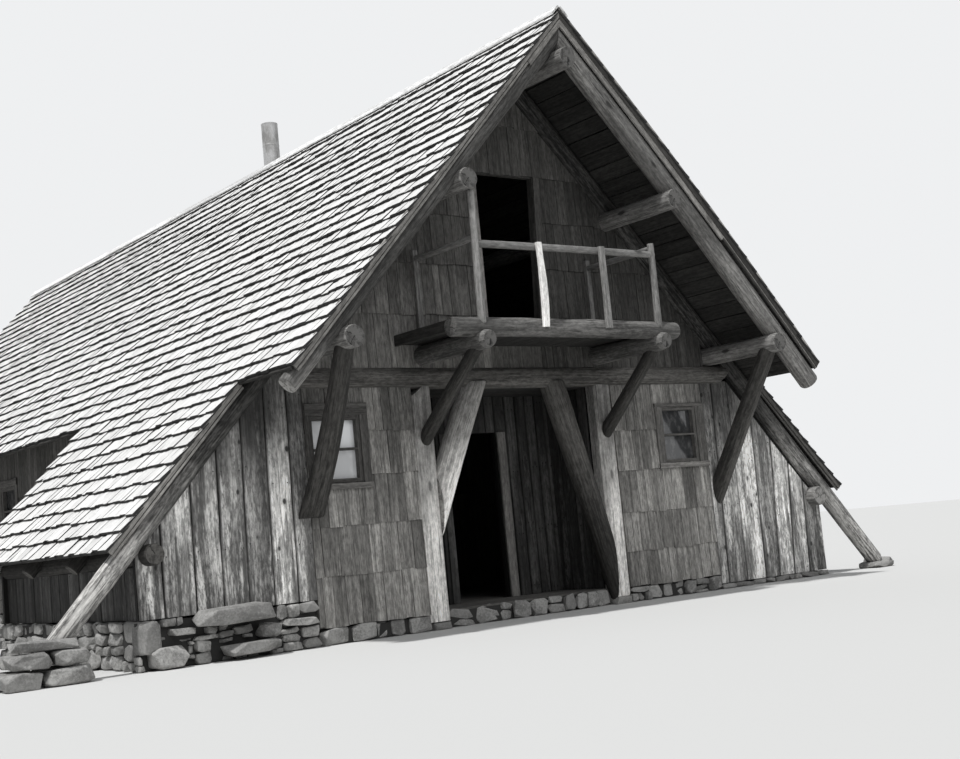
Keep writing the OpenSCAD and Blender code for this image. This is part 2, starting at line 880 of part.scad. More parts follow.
// Metal flue that stands just behind the ridge line and passes through the roof
module flue_core(r) {
    translate([flue_x, flue_y, flue_base]) cylinder(h = flue_top - flue_base, r = r);
}
module flue_pipe() {
    color("lightslategray") front_end() difference() {
        flue_core(flue_r);
        translate([0, 0, -1]) flue_core(flue_r - flue_sheet);
        translate([0, 0, 1]) flue_core(flue_r - flue_sheet);
    }
}

main_roof_left();
main_roof_right();
wing_roofs_left();
wing_roofs_right();
ridge_cap();
rake_boards_left();
rake_boards_right();
canopy_rafters_left();
canopy_rafters_right();
frame_logs_left();
frame_logs_right();
ridge_log();
upper_purlins();
lower_purlins();
wall_plates();
tie_logs();
knee_braces();
wing_front_walls();
wing_back_walls();
wing_side_walls();
eave_walls();
front_wall_left();
front_wall_right();
rear_wall();
gable_wall_left();
gable_wall_right();
gable_wall_middle();
rear_gable_wall();
entry_side_walls();
entry_back_walls();
entry_door_head();
entry_ceiling();
wing_floors();
middle_floor();
upper_floor();
balcony_deck();
balcony_beam();
balcony_joists();
balcony_posts();
balcony_rails();
balusters();
balcony_braces();
entry_posts();
entry_struts();
entry_lintel();
window_frames();
window_glass();
door_casings();
cross_footings();
long_footings();
foot_stones();
flue_pipe();
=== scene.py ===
"""Looks of the log-framed cabin: shakes, planks, peeled logs, rubble and the stage."""

import math
import random

import bmesh
import bpy
import numpy as np
from bpy.props import FloatProperty, FloatVectorProperty, IntProperty, PointerProperty
from mathutils import Matrix, Vector, noise


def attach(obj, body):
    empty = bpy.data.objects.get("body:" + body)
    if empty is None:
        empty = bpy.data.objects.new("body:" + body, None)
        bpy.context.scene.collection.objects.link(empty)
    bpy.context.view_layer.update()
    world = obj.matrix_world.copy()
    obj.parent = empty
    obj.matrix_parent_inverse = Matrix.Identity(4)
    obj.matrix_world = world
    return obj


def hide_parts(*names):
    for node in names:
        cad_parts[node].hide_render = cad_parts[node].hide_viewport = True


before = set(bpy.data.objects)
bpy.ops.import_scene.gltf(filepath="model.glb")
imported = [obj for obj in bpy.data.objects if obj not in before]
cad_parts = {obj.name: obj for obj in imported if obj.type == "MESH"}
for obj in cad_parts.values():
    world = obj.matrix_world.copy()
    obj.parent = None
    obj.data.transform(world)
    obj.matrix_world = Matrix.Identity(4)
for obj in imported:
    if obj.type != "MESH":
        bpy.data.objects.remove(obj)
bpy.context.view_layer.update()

bl_info = {
    "name": "A-frame cabin",
    "version": (1, 0, 0),
    "blender": (4, 5, 0),
    "location": "3D View > Sidebar > Cabin",
    "description": "Builds the timber, stone and metal of a log-framed cabin",
    "category": "Object",
}

# Sizes shared with the solids, in metres
HALF_L = 8.5
PITCH = math.radians(46.7)
RUN, RISE = math.cos(PITCH), math.sin(PITCH)
TAN = RISE / RUN
RIDGE_Z = 6.93
EAVE_S = 3.91 / RUN
WING_EAVE_S = 5.41 / RUN
WING_Y, WING_END_Y = 1.095, 5.3
WALL_Y, WALL_T = 1.25, 0.1
BACK_WALL_Y = WING_END_Y - (WALL_Y - WING_Y) - WALL_T
RAFTER_R, RAFTER_D = 0.13, 0.2
SEAT_D = RAFTER_D + RAFTER_R - 0.022
FRAME_Y = 1.275
FRAME_BACK_Y = WING_END_Y - (FRAME_Y - WING_Y)
PURLIN_R = 0.12
TIE_R, TIE_Z, TIE_HALF = 0.125, 2.81, 3.56
WALL_CAP = TIE_Z - 0.092
LOWER_X, UPPER_X = 3.16, 1.555
LOWER_Z = TIE_Z + TIE_R + PURLIN_R - 0.01
UPPER_Z = 4.775
RIDGE_LOG_Z = 6.31
PLATE_X, PLATE_Z, PLATE_R = 4.94, 1.085, 0.126
SIDE_X, PLANKS_X = 4.99, 5.04
EAVE_WALL_X = LOWER_X + WALL_T / 2
PAD_H, PAD_R = 0.09, 0.29
PIER_H, PIER_IN = 0.42, 5.58
RAKE_IN, RAKE_BACK = 0.015, 0.05
# Layers of the rake boards: depths of the upper and lower edge, how far back, and thickness
RAKE_LAYERS = ((0.026, 0.094, 0.0, 0.024), (0.104, 0.13, 0.01, 0.016))
ENTRY_X, ENTRY_HALF, POST_W = -0.17, 1.375, 0.27
POST_LEFT, POST_RIGHT = ENTRY_X - ENTRY_HALF - POST_W / 2, ENTRY_X + ENTRY_HALF + POST_W / 2
BACK_Y, POST_BACK_Y = 2.21, WALL_Y + 0.2
DECK_Z, FLOOR_T, DECK_X = 3.205, 0.04, (-1.82, 1.38)
BALCONY_HALF = 1.31
BEAM_Y, BEAM_R, BEAM_X = 0.15, 0.11, (-1.88, 1.45)
BEAM_Z = DECK_Z + 0.085 - BEAM_R
JOIST_R = 0.117
JOIST_Z = DECK_Z - FLOOR_T - JOIST_R
RAIL_R = 0.042
RAIL_Z = DECK_Z + 0.915 - RAIL_R
RAIL_Y = BEAM_Y - BEAM_R + 0.046
FLOOR_Z, CEILING_Z = 0.2, 2.69
PLANK_LEFT_X, PLANK_RIGHT_X = 3.08, 2.94
FOOT_LEFT, FOOT_RIGHT, FOOT_MID = 0.48, 0.07, 0.18
WINDOW_W, WINDOW_LOW, WINDOW_TOP = 0.64, 1.68, 2.395
WINDOW_LEFT_X, WINDOW_RIGHT_X = -2.715, 2.47
EAVE_WINDOW_Y = (7.0, 10.0)
REAR_WINDOW = (3.9, 4.9)
DOOR_LEFT, DOOR_RIGHT_LOW, DOOR_RIGHT_TOP, DOOR_TOP = -0.49, 0.29, 0.4, 5.26
DOORWAY_W, DOORWAY_H = 0.78, 2.04
FLUE_X, FLUE_Y = 0.175, 7.08
# How much the right front wing roof lifts towards its eave, and how far the right slope bows out at the
# front edge: its shakes, its rake boards and its log
WING_KICK = 0.022
BOW_SHAKES, BOW_RAKE, BOW_LOG = 0.075, 0.058, 0.045
BOW_REACH = 4.0
ENDS = FRONT, REAR = -1, 1
SIDES = LEFT, RIGHT = -1, 1
SIDE_NAMES = {LEFT: "left", RIGHT: "right"}
# How high the footing under each wing stands
FEET = {LEFT: FOOT_LEFT, RIGHT: FOOT_RIGHT}


def at_y(end, depth):
    """Row-frame y of a distance in from the front or the rear canopy edge."""
    return end * (HALF_L - depth)


def slope_z(x, depth):
    """Height of the line that lies a depth below the shakes, at a level distance from the ridge."""
    return RIDGE_Z - abs(x) * TAN - depth / RUN


def slope_point(side, s, depth, y):
    """Point of a slope: s down it from the ridge, at a depth square to it."""
    return Vector((side * (s * RUN - depth * RISE), y, RIDGE_Z - s * RISE - depth * RUN))


def bow(s, most):
    """How far the right slope's front edge bows out, at s down the slope."""
    return most * math.sin(math.pi * min(1.0, max(0.0, s / EAVE_S)))


# Settings


class CabinRoofSettings(bpy.types.PropertyGroup):
    shake_width: FloatProperty(name="Shake width", description="Mean width of a roof shake", default=0.15, min=0.08, max=0.3,
                               unit="LENGTH")
    shake_gap: FloatProperty(name="Shake gap", description="Gap between neighbouring shakes", default=0.005, min=0.0,
                             max=0.02, unit="LENGTH")
    butt: FloatProperty(name="Butt thickness", description="Thickness of a shake at its lower end", default=0.031, min=0.01,
                        max=0.035, unit="LENGTH")
    wander: FloatProperty(name="Butt wander", description="How far butts stray from their course", default=0.021, min=0.0,
                          max=0.03, unit="LENGTH")
    courses: IntProperty(name="Courses", description="Courses from the ridge to the upper eave", default=26, min=20, max=32)
    wing_courses: IntProperty(name="Wing courses", description="Courses on each wing roof", default=10, min=8, max=14)
    color: FloatVectorProperty(name="Shake color", description="Weathered shakes", default=(0.79, 0.784, 0.77),
                               subtype="COLOR", min=0, max=1)


class CabinTimberSettings(bpy.types.PropertyGroup):
    log_color: FloatVectorProperty(name="Log color", description="Peeled, weathered logs", default=(0.36, 0.352, 0.338),
                                   subtype="COLOR", min=0, max=1)
    pole_color: FloatVectorProperty(name="Pole color", description="Thin poles of the balcony", default=(0.25, 0.246, 0.238),
                                    subtype="COLOR", min=0, max=1)
    rake_color: FloatVectorProperty(name="Rake color", description="Boards along the roof's edges",
                                    default=(0.19, 0.184, 0.174), subtype="COLOR", min=0, max=1)
    # Painted shade: the logs that stand in shade, the braces, ties, plates, tails, lintel and right strut, take this
    # darker colour
    brace_color: FloatVectorProperty(name="Brace color", description="Darker braces that keep some bark",
                                     default=(0.085, 0.082, 0.077), subtype="COLOR", min=0, max=1)
    crook: FloatProperty(name="Crook", description="How far a log strays from straight", default=0.016, min=0.0, max=0.05,
                         unit="LENGTH")


class CabinWallSettings(bpy.types.PropertyGroup):
    plank_color: FloatVectorProperty(name="Plank color", description="Weathered wall planks", default=(0.34, 0.335, 0.324),
                                     subtype="COLOR", min=0, max=1)
    # Painted shade: this colour is darkened for the walls under the roof; the low walls take a lit copy of it, the
    # right gable and the sheathing shaded copies
    shake_color: FloatVectorProperty(name="Wall shake color", description="Long wall shakes", default=(0.115, 0.112, 0.106),
                                     subtype="COLOR", min=0, max=1)
    # Painted shade: the entry recess, the wing sides under the eaves and the left door board take this near-black
    # colour for the shade they stand in
    dark_color: FloatVectorProperty(name="Recess color", description="Boards of the recessed entry",
                                    default=(0.064, 0.063, 0.061), subtype="COLOR", min=0, max=1)
    trim_color: FloatVectorProperty(name="Trim color", description="Window and door boards", default=(0.125, 0.121, 0.115),
                                    subtype="COLOR", min=0, max=1)
    plank_gap: FloatProperty(name="Plank gap", description="Open joint between planks", default=0.01, min=0.002, max=0.02,
                             unit="LENGTH")
    shake_butt: FloatProperty(name="Wall shake butt", description="Thickness of a wall shake's lower end", default=0.024,
                              min=0.01, max=0.03, unit="LENGTH")


class CabinStoneSettings(bpy.types.PropertyGroup):
    color: FloatVectorProperty(name="Stone color", description="Field stone", default=(0.335, 0.331, 0.32), subtype="COLOR",
                               min=0, max=1)
    length: FloatProperty(name="Stone length", description="Mean length of a footing stone", default=0.42, min=0.2, max=0.8,
                          unit="LENGTH")


class CabinStageSettings(bpy.types.PropertyGroup):
    floor_color: FloatVectorProperty(name="Floor color", description="Plain floor", default=(0.62, 0.62, 0.61),
                                     subtype="COLOR", min=0, max=1)
    key: FloatProperty(name="Key light", description="Strength of the soft sun", default=2.9, min=0.0, max=10.0)
    fill: FloatProperty(name="Fill light", description="Strength of the sky", default=0.28, min=0.0, max=3.0)


# Node trees


class Tree:
    """Adds nodes to a tree and links what is given as a socket."""

    def __init__(self, tree):
        self.tree = tree

    def add(self, kind, inputs=None, out=0, **props):
        node = self.tree.nodes.new(kind)
        for key, value in props.items():
            setattr(node, key, value)
        for key, value in (inputs or {}).items():
            if isinstance(value, bpy.types.NodeSocket):
                self.tree.links.new(value, node.inputs[key])
            else:
                node.inputs[key].default_value = value
        return node.outputs[out]

    def close(self, kind, result):
        """Adds the output node and gives it the result."""
        self.tree.links.new(result, self.tree.nodes.new(kind).inputs[0])

    def math(self, operation, a, b=0.0):
        return self.add("ShaderNodeMath", {0: a, 1: b}, operation=operation)

    def plus(self, a, b):
        return self.math("ADD", a, b)

    def minus(self, a, b):
        return self.math("SUBTRACT", a, b)

    def times(self, a, b):
        return self.math("MULTIPLY", a, b)

    def xyz(self, x, y, z):
        return self.add("ShaderNodeCombineXYZ", {0: x, 1: y, 2: z})

    def axis(self, vector, number):
        return self.add("ShaderNodeSeparateXYZ", {0: vector}, number)

    def mark(self, name):
        """A number that the mesh carries."""
        return self.add("ShaderNodeAttribute", attribute_name=name, out=2)

    def place(self):
        """Object coordinates."""
        return self.add("ShaderNodeTexCoord", out=3)

    def vector(self, operation, a, b=(0, 0, 0)):
        return self.add("ShaderNodeVectorMath", {0: a, 1: b}, operation=operation)

    def scaled(self, a, scale):
        return self.add("ShaderNodeMapping", {"Vector": a, "Scale": scale})

    def noise(self, vector, scale, detail=3.0, rough=0.55, out=0):
        return self.add("ShaderNodeTexNoise",
                        {"Vector": self.scaled(vector, scale), "Scale": 1.0, "Detail": detail, "Roughness": rough}, out)

    def between(self, value, low, high, to_low=0.0, to_high=1.0):
        return self.add("ShaderNodeMapRange", {"Value": value, 1: low, 2: high, 3: to_low, 4: to_high},
                        interpolation_type="SMOOTHSTEP")

    def mix(self, factor, a, b, blend="MIX"):
        return self.add("ShaderNodeMix", {0: factor, 6: a, 7: b}, 2, data_type="RGBA", blend_type=blend)

    def gain(self, color, factor):
        return self.mix(1.0, color, factor, "MULTIPLY")


def rgb(color, gain=1.0):
    return tuple(min(1.0, c * gain) for c in color[:3]) + (1.0,)


def new_material(name):
    material = bpy.data.materials.new(name)
    material.use_nodes = True
    material.node_tree.nodes.clear()
    return material, Tree(material.node_tree)


def close_material(t, color, rough, height, bump, distance=0.01, metallic=0.0, specular=0.3):
    normal = t.add("ShaderNodeBump", {"Strength": bump, "Distance": distance, "Height": height})
    shader = t.add("ShaderNodeBsdfPrincipled",
                   {"Base Color": color, "Roughness": rough, "Metallic": metallic, "Specular IOR Level": specular,
                    "Normal": normal})
    t.close("ShaderNodeOutputMaterial", shader)


def timber(name, color, fibre, streak, contrast, checks, knots, bump, by_object=None, tones=(0.46, 1.36),
           weather=0.0, spread=(0.85, 1.25), sun=None, grit=0.45, lap_shade=False, bare=0.0):
    """Weathered wood. fibre and streak are how close its fine and broad grain lie. Its grain follows the
    piece's own attribute, or with by_object the object, turned. tones are its dark and light colour,
    weather paints shade from the eaves onto the tops of upright boards, over some staining, darkens them
    towards their feet and along their edges, paints patches of sunlight near their feet and marks their
    nails. spread is how dark and light single pieces get, sun = (low, high, at low, at high) paints light
    and shade by height, grit is how strong the fine mottling is, lapped paints shade on what lies under
    the next course, and bare paints patches of sunlight near the ground."""
    material, t = new_material(name)

    def shade(gain):
        return rgb(color, gain)

    if by_object is None:
        grain = t.add("ShaderNodeAttribute", attribute_name="grain", out=1)
        tone = t.mark("tone")
    else:
        place = t.place()
        grain = t.add("ShaderNodeMapping", {"Vector": place, "Rotation": by_object})
        tone = t.add("ShaderNodeValue")
        tone.default_value = 0.5
    end = t.mark("end")
    shift = t.xyz(*(t.times(tone, stride) for stride in (31.0, 47.0, 19.0)))
    place = t.vector("ADD", grain, shift)
    warp = t.noise(place, (3.0, 0.7, 3.0), 2.0, out=1)

    def swayed(vector):
        sway = t.vector("MULTIPLY", t.vector("SUBTRACT", warp, (0.5, 0.5, 0.5)), (0.03, 0.0, 0.03))
        return t.vector("ADD", vector, sway)

    bent = swayed(place)
    fine = t.noise(bent, (fibre, 1.6, fibre), 5.0, 0.62)
    broad = t.noise(bent, (streak, 0.55, streak), 4.0, 0.6)
    blotch = t.noise(place, (2.2, 1.1, 2.2), 3.0, 0.6)
    # Drying checks: thin dark lines along the grain, where a stretched noise crosses its middle
    line = t.noise(bent, (fibre * 0.36, 0.35, fibre * 0.36), 2.0, 0.5)
    check = t.between(t.math("ABSOLUTE", t.minus(line, 0.5)), 0.004, 0.018, 1.0, 0.0)
    check = t.times(check, t.between(broad, 0.45, 0.6, 0.05, 1.0))
    check = t.times(check, checks)
    cell = t.add("ShaderNodeTexVoronoi",
                 {"Vector": t.scaled(place, (5.0, 3.2, 5.0) if weather else (4.2, 1.5, 4.2)), "Scale": 1.0,
                  "Randomness": 1.0})
    knot = t.times(t.between(cell, 0.07, 0.13, 1.0, 0.0), knots)
    halo = t.times(t.between(cell, 0.08, 0.3, 1.0, 0.0), knots * 0.35)
    level = t.plus(t.times(fine, 0.42), t.times(broad, 0.58))
    mottle = t.noise(place, (38.0, 11.0, 38.0), 6.0, 0.7)
    level = t.plus(t.times(level, 0.8), t.times(mottle, 0.2))
    light = t.between(level, 0.5 - 0.14 / contrast, 0.5 + 0.14 / contrast)
    wood = t.mix(light, shade(tones[0]), shade(tones[1]))
    wood = t.mix(t.between(blotch, 0.38, 0.66, 0.0, 0.55), wood, shade(0.4 + 0.5 * tones[0]))
    wood = t.gain(wood, t.between(tone, 0.0, 1.0, *spread))
    wood = t.mix(grit, wood, t.between(mottle, 0.38, 0.6, 0.6, 1.3), "MULTIPLY")
    if weather:
        height = t.axis(grain, 1)
        edge = t.mark("edge")
        # Painted shade from the eaves, over some staining: the tops of the boards are darker
        top = t.between(t.plus(height, t.times(t.plus(blotch, broad), 1.5)), 2.9, 4.3, 0.0, 0.75 * weather)
        wood = t.mix(top, wood, shade(0.3))
        wide = t.noise(bent, (4.0, 0.45, 4.0), 3.0, 0.5)
        wood = t.gain(wood, t.between(wide, 0.36, 0.64, 0.6, 1.4))
        wood = t.gain(wood, t.between(height, 0.1, 1.5, 0.84, 1.3))
        # Painted patches of sunlight near the feet of the boards
        patch = t.noise(bent, (7.0, 0.7, 7.0), 6.0, 0.66)
        bare = t.times(t.between(patch, 0.52, 0.62), t.between(height, 1.5, 2.6, weather, 0.1 * weather))
        bare = t.times(bare, t.between(mottle, 0.42, 0.56, 0.2, 1.0))
        wood = t.mix(bare, wood, shade(2.5))
        soil = t.between(t.noise(bent, (7.0, 0.8, 7.0), 5.0, 0.65), 0.5, 0.64, 0.0, 0.75 * weather)
        wood = t.mix(soil, wood, shade(0.3))
        wood = t.mix(t.between(edge, 0.0, 0.022, 0.75 * weather, 0.0), wood, shade(0.22))
        # Nails in pairs: a dark head and a stain that runs down from it
        across = t.minus(edge, t.plus(0.03, t.times(tone, 0.022)))
        rise = t.plus(height, t.times(tone, 0.31))
        rise = t.times(t.minus(t.math("FRACT", t.math("DIVIDE", rise, 0.78)), 0.5), 0.78)
        reach = t.math("SQRT", t.plus(t.times(across, across), t.times(rise, rise)))
        nail = t.between(reach, 0.006, 0.01, 1.0, 0.0)
        below = t.between(t.math("ABSOLUTE", across), 0.003, 0.016, 0.5, 0.0)
        run = t.times(below, t.times(t.between(rise, -0.16, -0.01), t.between(rise, 0.0, 0.01, 1.0, 0.0)))
        wood = t.mix(t.math("MAXIMUM", nail, t.times(run, mottle)), wood, shade(0.18))
    wood = t.mix(halo, wood, shade(0.5))
    wood = t.mix(t.math("MAXIMUM", knot, check), wood, shade(0.13))
    # Sawn ends: rings about the heart, and two checks that run in from the bark
    flat = swayed(t.vector("MULTIPLY", grain, (1.0, 0.0, 1.0)))
    radius = t.add("ShaderNodeVectorMath", {0: flat}, 1, operation="LENGTH")
    ring = t.math("SINE", t.times(radius, 900.0))
    sawn = t.mix(t.between(ring, -1.0, 1.0, 0.25, 0.75), shade(0.48), shade(0.95))
    sawn = t.mix(t.between(t.noise(place, (16.0, 16.0, 16.0), 5.0, 0.7), 0.44, 0.62, 0.0, 0.85), sawn, shade(0.25))
    fan = t.math("ARCTAN2", t.axis(flat, 0), t.axis(flat, 2))
    splits = None
    for turn, reach in ((6.28, 0.0), (17.0, 0.035)):
        swing = t.minus(fan, t.times(tone, turn))
        swing = t.plus(swing, t.times(t.noise(place, (30.0, 30.0, 30.0), 3.0), 1.2))
        far = t.times(t.math("ABSOLUTE", t.math("SINE", t.times(swing, 0.5))), radius)
        split = t.times(t.between(far, 0.0015, 0.0035, 1.0, 0.0), t.between(radius, reach, reach + 0.01))
        splits = split if splits is None else t.math("MAXIMUM", splits, split)
    sawn = t.mix(splits, sawn, shade(0.08))
    wood = t.mix(t.math("GREATER_THAN", end, 0.75), wood, sawn)
    # Painted light and shade by height: darker where the roof, the eaves and the balcony shade the piece, lighter where
    # light reaches it
    if sun:
        rise = t.axis(t.place(), 2)
        rise = t.plus(rise, t.times(t.minus(blotch, 0.5), 1.2))
        wood = t.gain(wood, t.between(rise, *sun))
        # Painted patches of sunlight near the ground
        if bare:
            patch = t.between(t.noise(bent, (13.0, 0.6, 13.0), 6.0, 0.66), 0.48, 0.58, 0.0, bare)
            wood = t.mix(t.times(patch, t.between(rise, 0.7, 2.0, 1.0, 0.0)), wood, shade(2.5))
    # Painted shade on the heads of shakes under the next course, where they show through the gaps
    if lap_shade:
        head = t.between(t.mark("edge"), 0.44, 0.53, 1.0, 0.0)
        wood = t.mix(head, wood, shade(0.05))
    # Painted shade on faces marked dark: the butts and sides of shakes, over their darker end grain, and the backing
    # behind open plank joints
    butt = t.times(t.math("GREATER_THAN", end, 0.25), t.math("LESS_THAN", end, 0.75))
    wood = t.mix(butt, wood, shade(0.045))
    height = t.minus(t.plus(t.times(fine, 0.5), t.times(broad, 0.5)), t.times(check, 0.9))
    close_material(t, wood, 0.86, height, bump, 0.012, specular=0.22)
    return material


def field_stone():
    color = bpy.context.scene.cabin_stone.color
    material, t = new_material("field_stone")
    place = t.place()
    tone = t.mark("tone")
    coarse = t.noise(place, (3.0, 3.0, 3.0), 5.0, 0.6)
    grit = t.noise(place, (42.0, 42.0, 42.0), 5.0, 0.7)
    spots = t.noise(place, (9.0, 9.0, 9.0), 3.0, 0.7)
    level = t.plus(t.times(coarse, 0.55), t.times(grit, 0.45))
    stone = t.mix(t.between(level, 0.36, 0.64), rgb(color, 0.5), rgb(color, 1.35))
    stone = t.mix(t.between(spots, 0.56, 0.68, 0.0, 0.7), stone, rgb(color, 1.55))
    stone = t.mix(t.between(tone, 0.0, 1.0, 0.0, 0.6), stone, rgb(color, 0.5))
    # Painted shade: the faces marked dark, the core behind the rubble
    stone = t.mix(t.math("GREATER_THAN", t.mark("end"), 0.25), stone, rgb(color, 0.12))
    close_material(t, stone, 0.92, level, 0.7, 0.02, specular=0.2)
    return material


def flue_metal():
    material, t = new_material("flue_metal")
    place = t.place()
    soot = t.noise(place, (5.0, 5.0, 2.0), 5.0, 0.65)
    grit = t.noise(place, (60.0, 60.0, 22.0), 3.0, 0.6)
    metal = t.mix(t.between(soot, 0.4, 0.62), (0.48, 0.48, 0.48, 1), (0.26, 0.257, 0.25, 1))
    metal = t.mix(t.between(grit, 0.55, 0.75, 0.0, 0.6), metal, (0.34, 0.32, 0.3, 1))
    close_material(t, metal, 0.5, grit, 0.2, 0.004, metallic=0.35)
    return material


def pane_glass():
    material, t = new_material("pane_glass")
    place = t.place()
    wave = t.noise(place, (4.0, 4.0, 3.0), 2.0, 0.5)
    dust = t.noise(place, (14.0, 14.0, 9.0), 4.0, 0.6)
    tint = t.mix(t.between(dust, 0.45, 0.7, 0.0, 0.5), (0.045, 0.046, 0.048, 1), (0.17, 0.17, 0.168, 1))
    # Painted reflection: the sky is painted into the panes of the left front window
    axes = t.axis(place, 0).node.outputs
    sky = t.times(t.math("LESS_THAN", axes[0], -2.0), t.math("LESS_THAN", axes[1], -7.0))
    tint = t.mix(t.times(sky, t.between(wave, 0.4, 0.6, 0.6, 1.0)), tint, (0.84, 0.85, 0.86, 1))
    close_material(t, tint, 0.07, wave, 0.12, 0.02, specular=0.9)
    return material


# Finishes of wood: the colour setting and its gain, then fibre, streak, contrast, checks, knots and bump,
# then what else timber() is told
LOGS, DARK_LOGS = (60.0, 11.0, 1.25, 0.85, 0.8, 0.6), (60.0, 11.0, 1.2, 0.7, 0.6, 0.6)
SHAKES, ROOMS = (90.0, 20.0, 1.0, 0.6, 0.2, 0.6), (70.0, 12.0, 1.0, 0.5, 0.5, 0.5)
LOG_TONES, DARK_TONES, LOG_SPREAD = (0.4, 1.5), (0.4, 1.6), (0.4, 1.25)
ALONG_X = (0, 0, math.pi / 2)
# Painted light and shade: the finishes given sun are lighter and darker by height; the low wall shakes are a lit copy
# of the wall shakes; the deep wall shakes, the sheathing, the recess boards and the logs of the shaded log colour are
# painted in shade; the pale pole of the left baluster is painted sunlight on freshly peeled wood
TIMBERS = {
    "roof_shake": ("roof.color", 1.0, (110.0, 26.0, 1.0, 0.25, 0.0, 0.4),
                   dict(tones=(0.82, 1.1), spread=(0.93, 1.07), grit=0.15, lap_shade=True)),
    "sheathing": ("walls.shake_color", 0.36, (60.0, 14.0, 1.0, 0.4, 0.5, 0.4), {}),
    "ridge_board": ("roof.color", 1.2, (80.0, 16.0, 0.8, 0.4, 0.3, 0.4), {}),
    "peeled_log": ("timber.log_color", 1.0, LOGS, dict(tones=LOG_TONES, spread=LOG_SPREAD, sun=(1.3, 2.6, 1.2, 0.55))),
    "frame_log": ("timber.log_color", 1.0, (60.0, 11.0, 1.4, 0.95, 0.8, 0.6),
                  dict(tones=(0.25, 2.0), spread=(0.5, 1.3), sun=(1.0, 2.3, 1.15, 0.18), grit=0.8, bare=0.42)),
    "eave_log": ("timber.log_color", 1.0, LOGS, dict(tones=LOG_TONES, spread=LOG_SPREAD, sun=(2.4, 3.0, 1.8, 0.55))),
    "plate_log": ("timber.brace_color", 1.8, DARK_LOGS, dict(tones=DARK_TONES, spread=(0.25, 1.25))),
    "shade_log": ("timber.brace_color", 1.0, DARK_LOGS, dict(tones=DARK_TONES, spread=LOG_SPREAD)),
    "tie_log": ("timber.brace_color", 1.5, DARK_LOGS,
                dict(tones=DARK_TONES, spread=LOG_SPREAD, sun=(0.5, 2.2, 0.35, 1.15))),
    "bare_pole": ("timber.pole_color", 3.3, (90.0, 20.0, 0.8, 0.4, 0.8, 0.4), dict(tones=(0.7, 1.2))),
    "light_pole": ("timber.pole_color", 1.0, (90.0, 20.0, 0.8, 0.5, 0.8, 0.4), {}),
    "hewn_post": ("timber.log_color", 1.0, (70.0, 14.0, 1.1, 0.7, 0.7, 0.6),
                  dict(spread=(0.9, 1.5), sun=(1.2, 2.3, 2.0, 0.62))),
    "rake_board": ("timber.rake_color", 1.0, (70.0, 14.0, 1.0, 0.5, 0.5, 0.5),
                   dict(spread=(0.3, 1.9), sun=(1.4, 2.7, 1.35, 1.0))),
    "wall_plank": ("walls.plank_color", 1.0, (75.0, 9.0, 1.9, 0.6, 0.95, 0.7),
                   dict(tones=(0.4, 1.45), weather=1.0, spread=(0.6, 2.6), grit=0.8, sun=(1.75, 2.55, 1.0, 0.5))),
    "wall_shake": ("walls.shake_color", 1.0, SHAKES, {}),
    "gable_shake": ("walls.shake_color", 1.0, SHAKES, dict(sun=(3.4, 4.3, 1.8, 0.95))),
    "low_shake": ("walls.shake_color", 2.2, (90.0, 20.0, 1.2, 0.6, 0.3, 0.6),
                  dict(tones=(0.4, 1.4), spread=(0.7, 1.4), sun=(1.2, 2.2, 1.15, 0.7))),
    "deep_shake": ("walls.shake_color", 0.6, SHAKES, {}),
    "dark_board": ("walls.dark_color", 1.0, (70.0, 14.0, 1.0, 0.6, 0.5, 0.5), dict(weather=0.6)),
    "trim_board": ("walls.trim_color", 1.0, (80.0, 16.0, 1.0, 0.5, 0.3, 0.4), dict(spread=(0.7, 2.2))),
    "room_boards": ("walls.shake_color", 1.0, ROOMS, dict(by_object=ALONG_X)),
    "recess_boards": ("walls.dark_color", 1.0, (70.0, 14.0, 1.0, 0.5, 0.5, 0.5), dict(by_object=ALONG_X)),
}
MATERIALS = {}


def material_of(name):
    """Materials by name, made once from the settings."""
    if name not in MATERIALS:
        if name in TIMBERS:
            setting, gain, grain, options = TIMBERS[name]
            group, key = setting.split(".")
            color = getattr(getattr(bpy.context.scene, "cabin_" + group), key)
            MATERIALS[name] = timber(name, [c * gain for c in color], *grain, **options)
        else:
            MATERIALS[name] = {"field_stone": field_stone, "flue_metal": flue_metal, "pane_glass": pane_glass}[name]()
    return MATERIALS[name]


# Meshes


class Shape:
    """Vertices and faces of one piece, with what its material follows: the grain, how light each part is,
    how far a point lies from its edge, and whether a face is a sawn end (1) or painted dark as shade (0.5)."""

    def __init__(self, seed):
        self.random = random.Random(seed)
        self.verts, self.faces, self.grain, self.tone, self.edge, self.end, self.smooth = [], [], [], [], [], [], []

    def add(self, verts, faces, grain, tone, ends=(), smooth=(), edge=None, dark=0.0):
        first = len(self.verts)
        self.verts += [tuple(v) for v in verts]
        self.grain += [tuple(g) for g in grain]
        self.tone += [tone] * len(verts)
        self.edge += edge or [1.0] * len(verts)
        for i, face in enumerate(faces):
            self.faces.append([first + k for k in face])
            self.end.append(1.0 if i in ends else dark)
            self.smooth.append(i in smooth)

    def mesh(self, name):
        mesh = bpy.data.meshes.new(name)
        mesh.from_pydata(self.verts, [], self.faces)
        for key, kind, domain, part in (("grain", "FLOAT_VECTOR", "POINT", "vector"), ("tone", "FLOAT", "POINT", "value"),
                                        ("edge", "FLOAT", "POINT", "value"), ("end", "FLOAT", "FACE", "value")):
            values = np.array(getattr(self, key), np.float32).ravel()
            mesh.attributes.new(key, kind, domain).data.foreach_set(part, values)
        mesh.polygons.foreach_set("use_smooth", self.smooth)
        return mesh

    def piece(self, name, material, slot, *nodes):
        return finish_piece(name, self.mesh(name), material, slot, *nodes)

    def peeled(self, node, material, slot="peeled_logs"):
        return self.piece(node + "_peeled", material, slot, node)


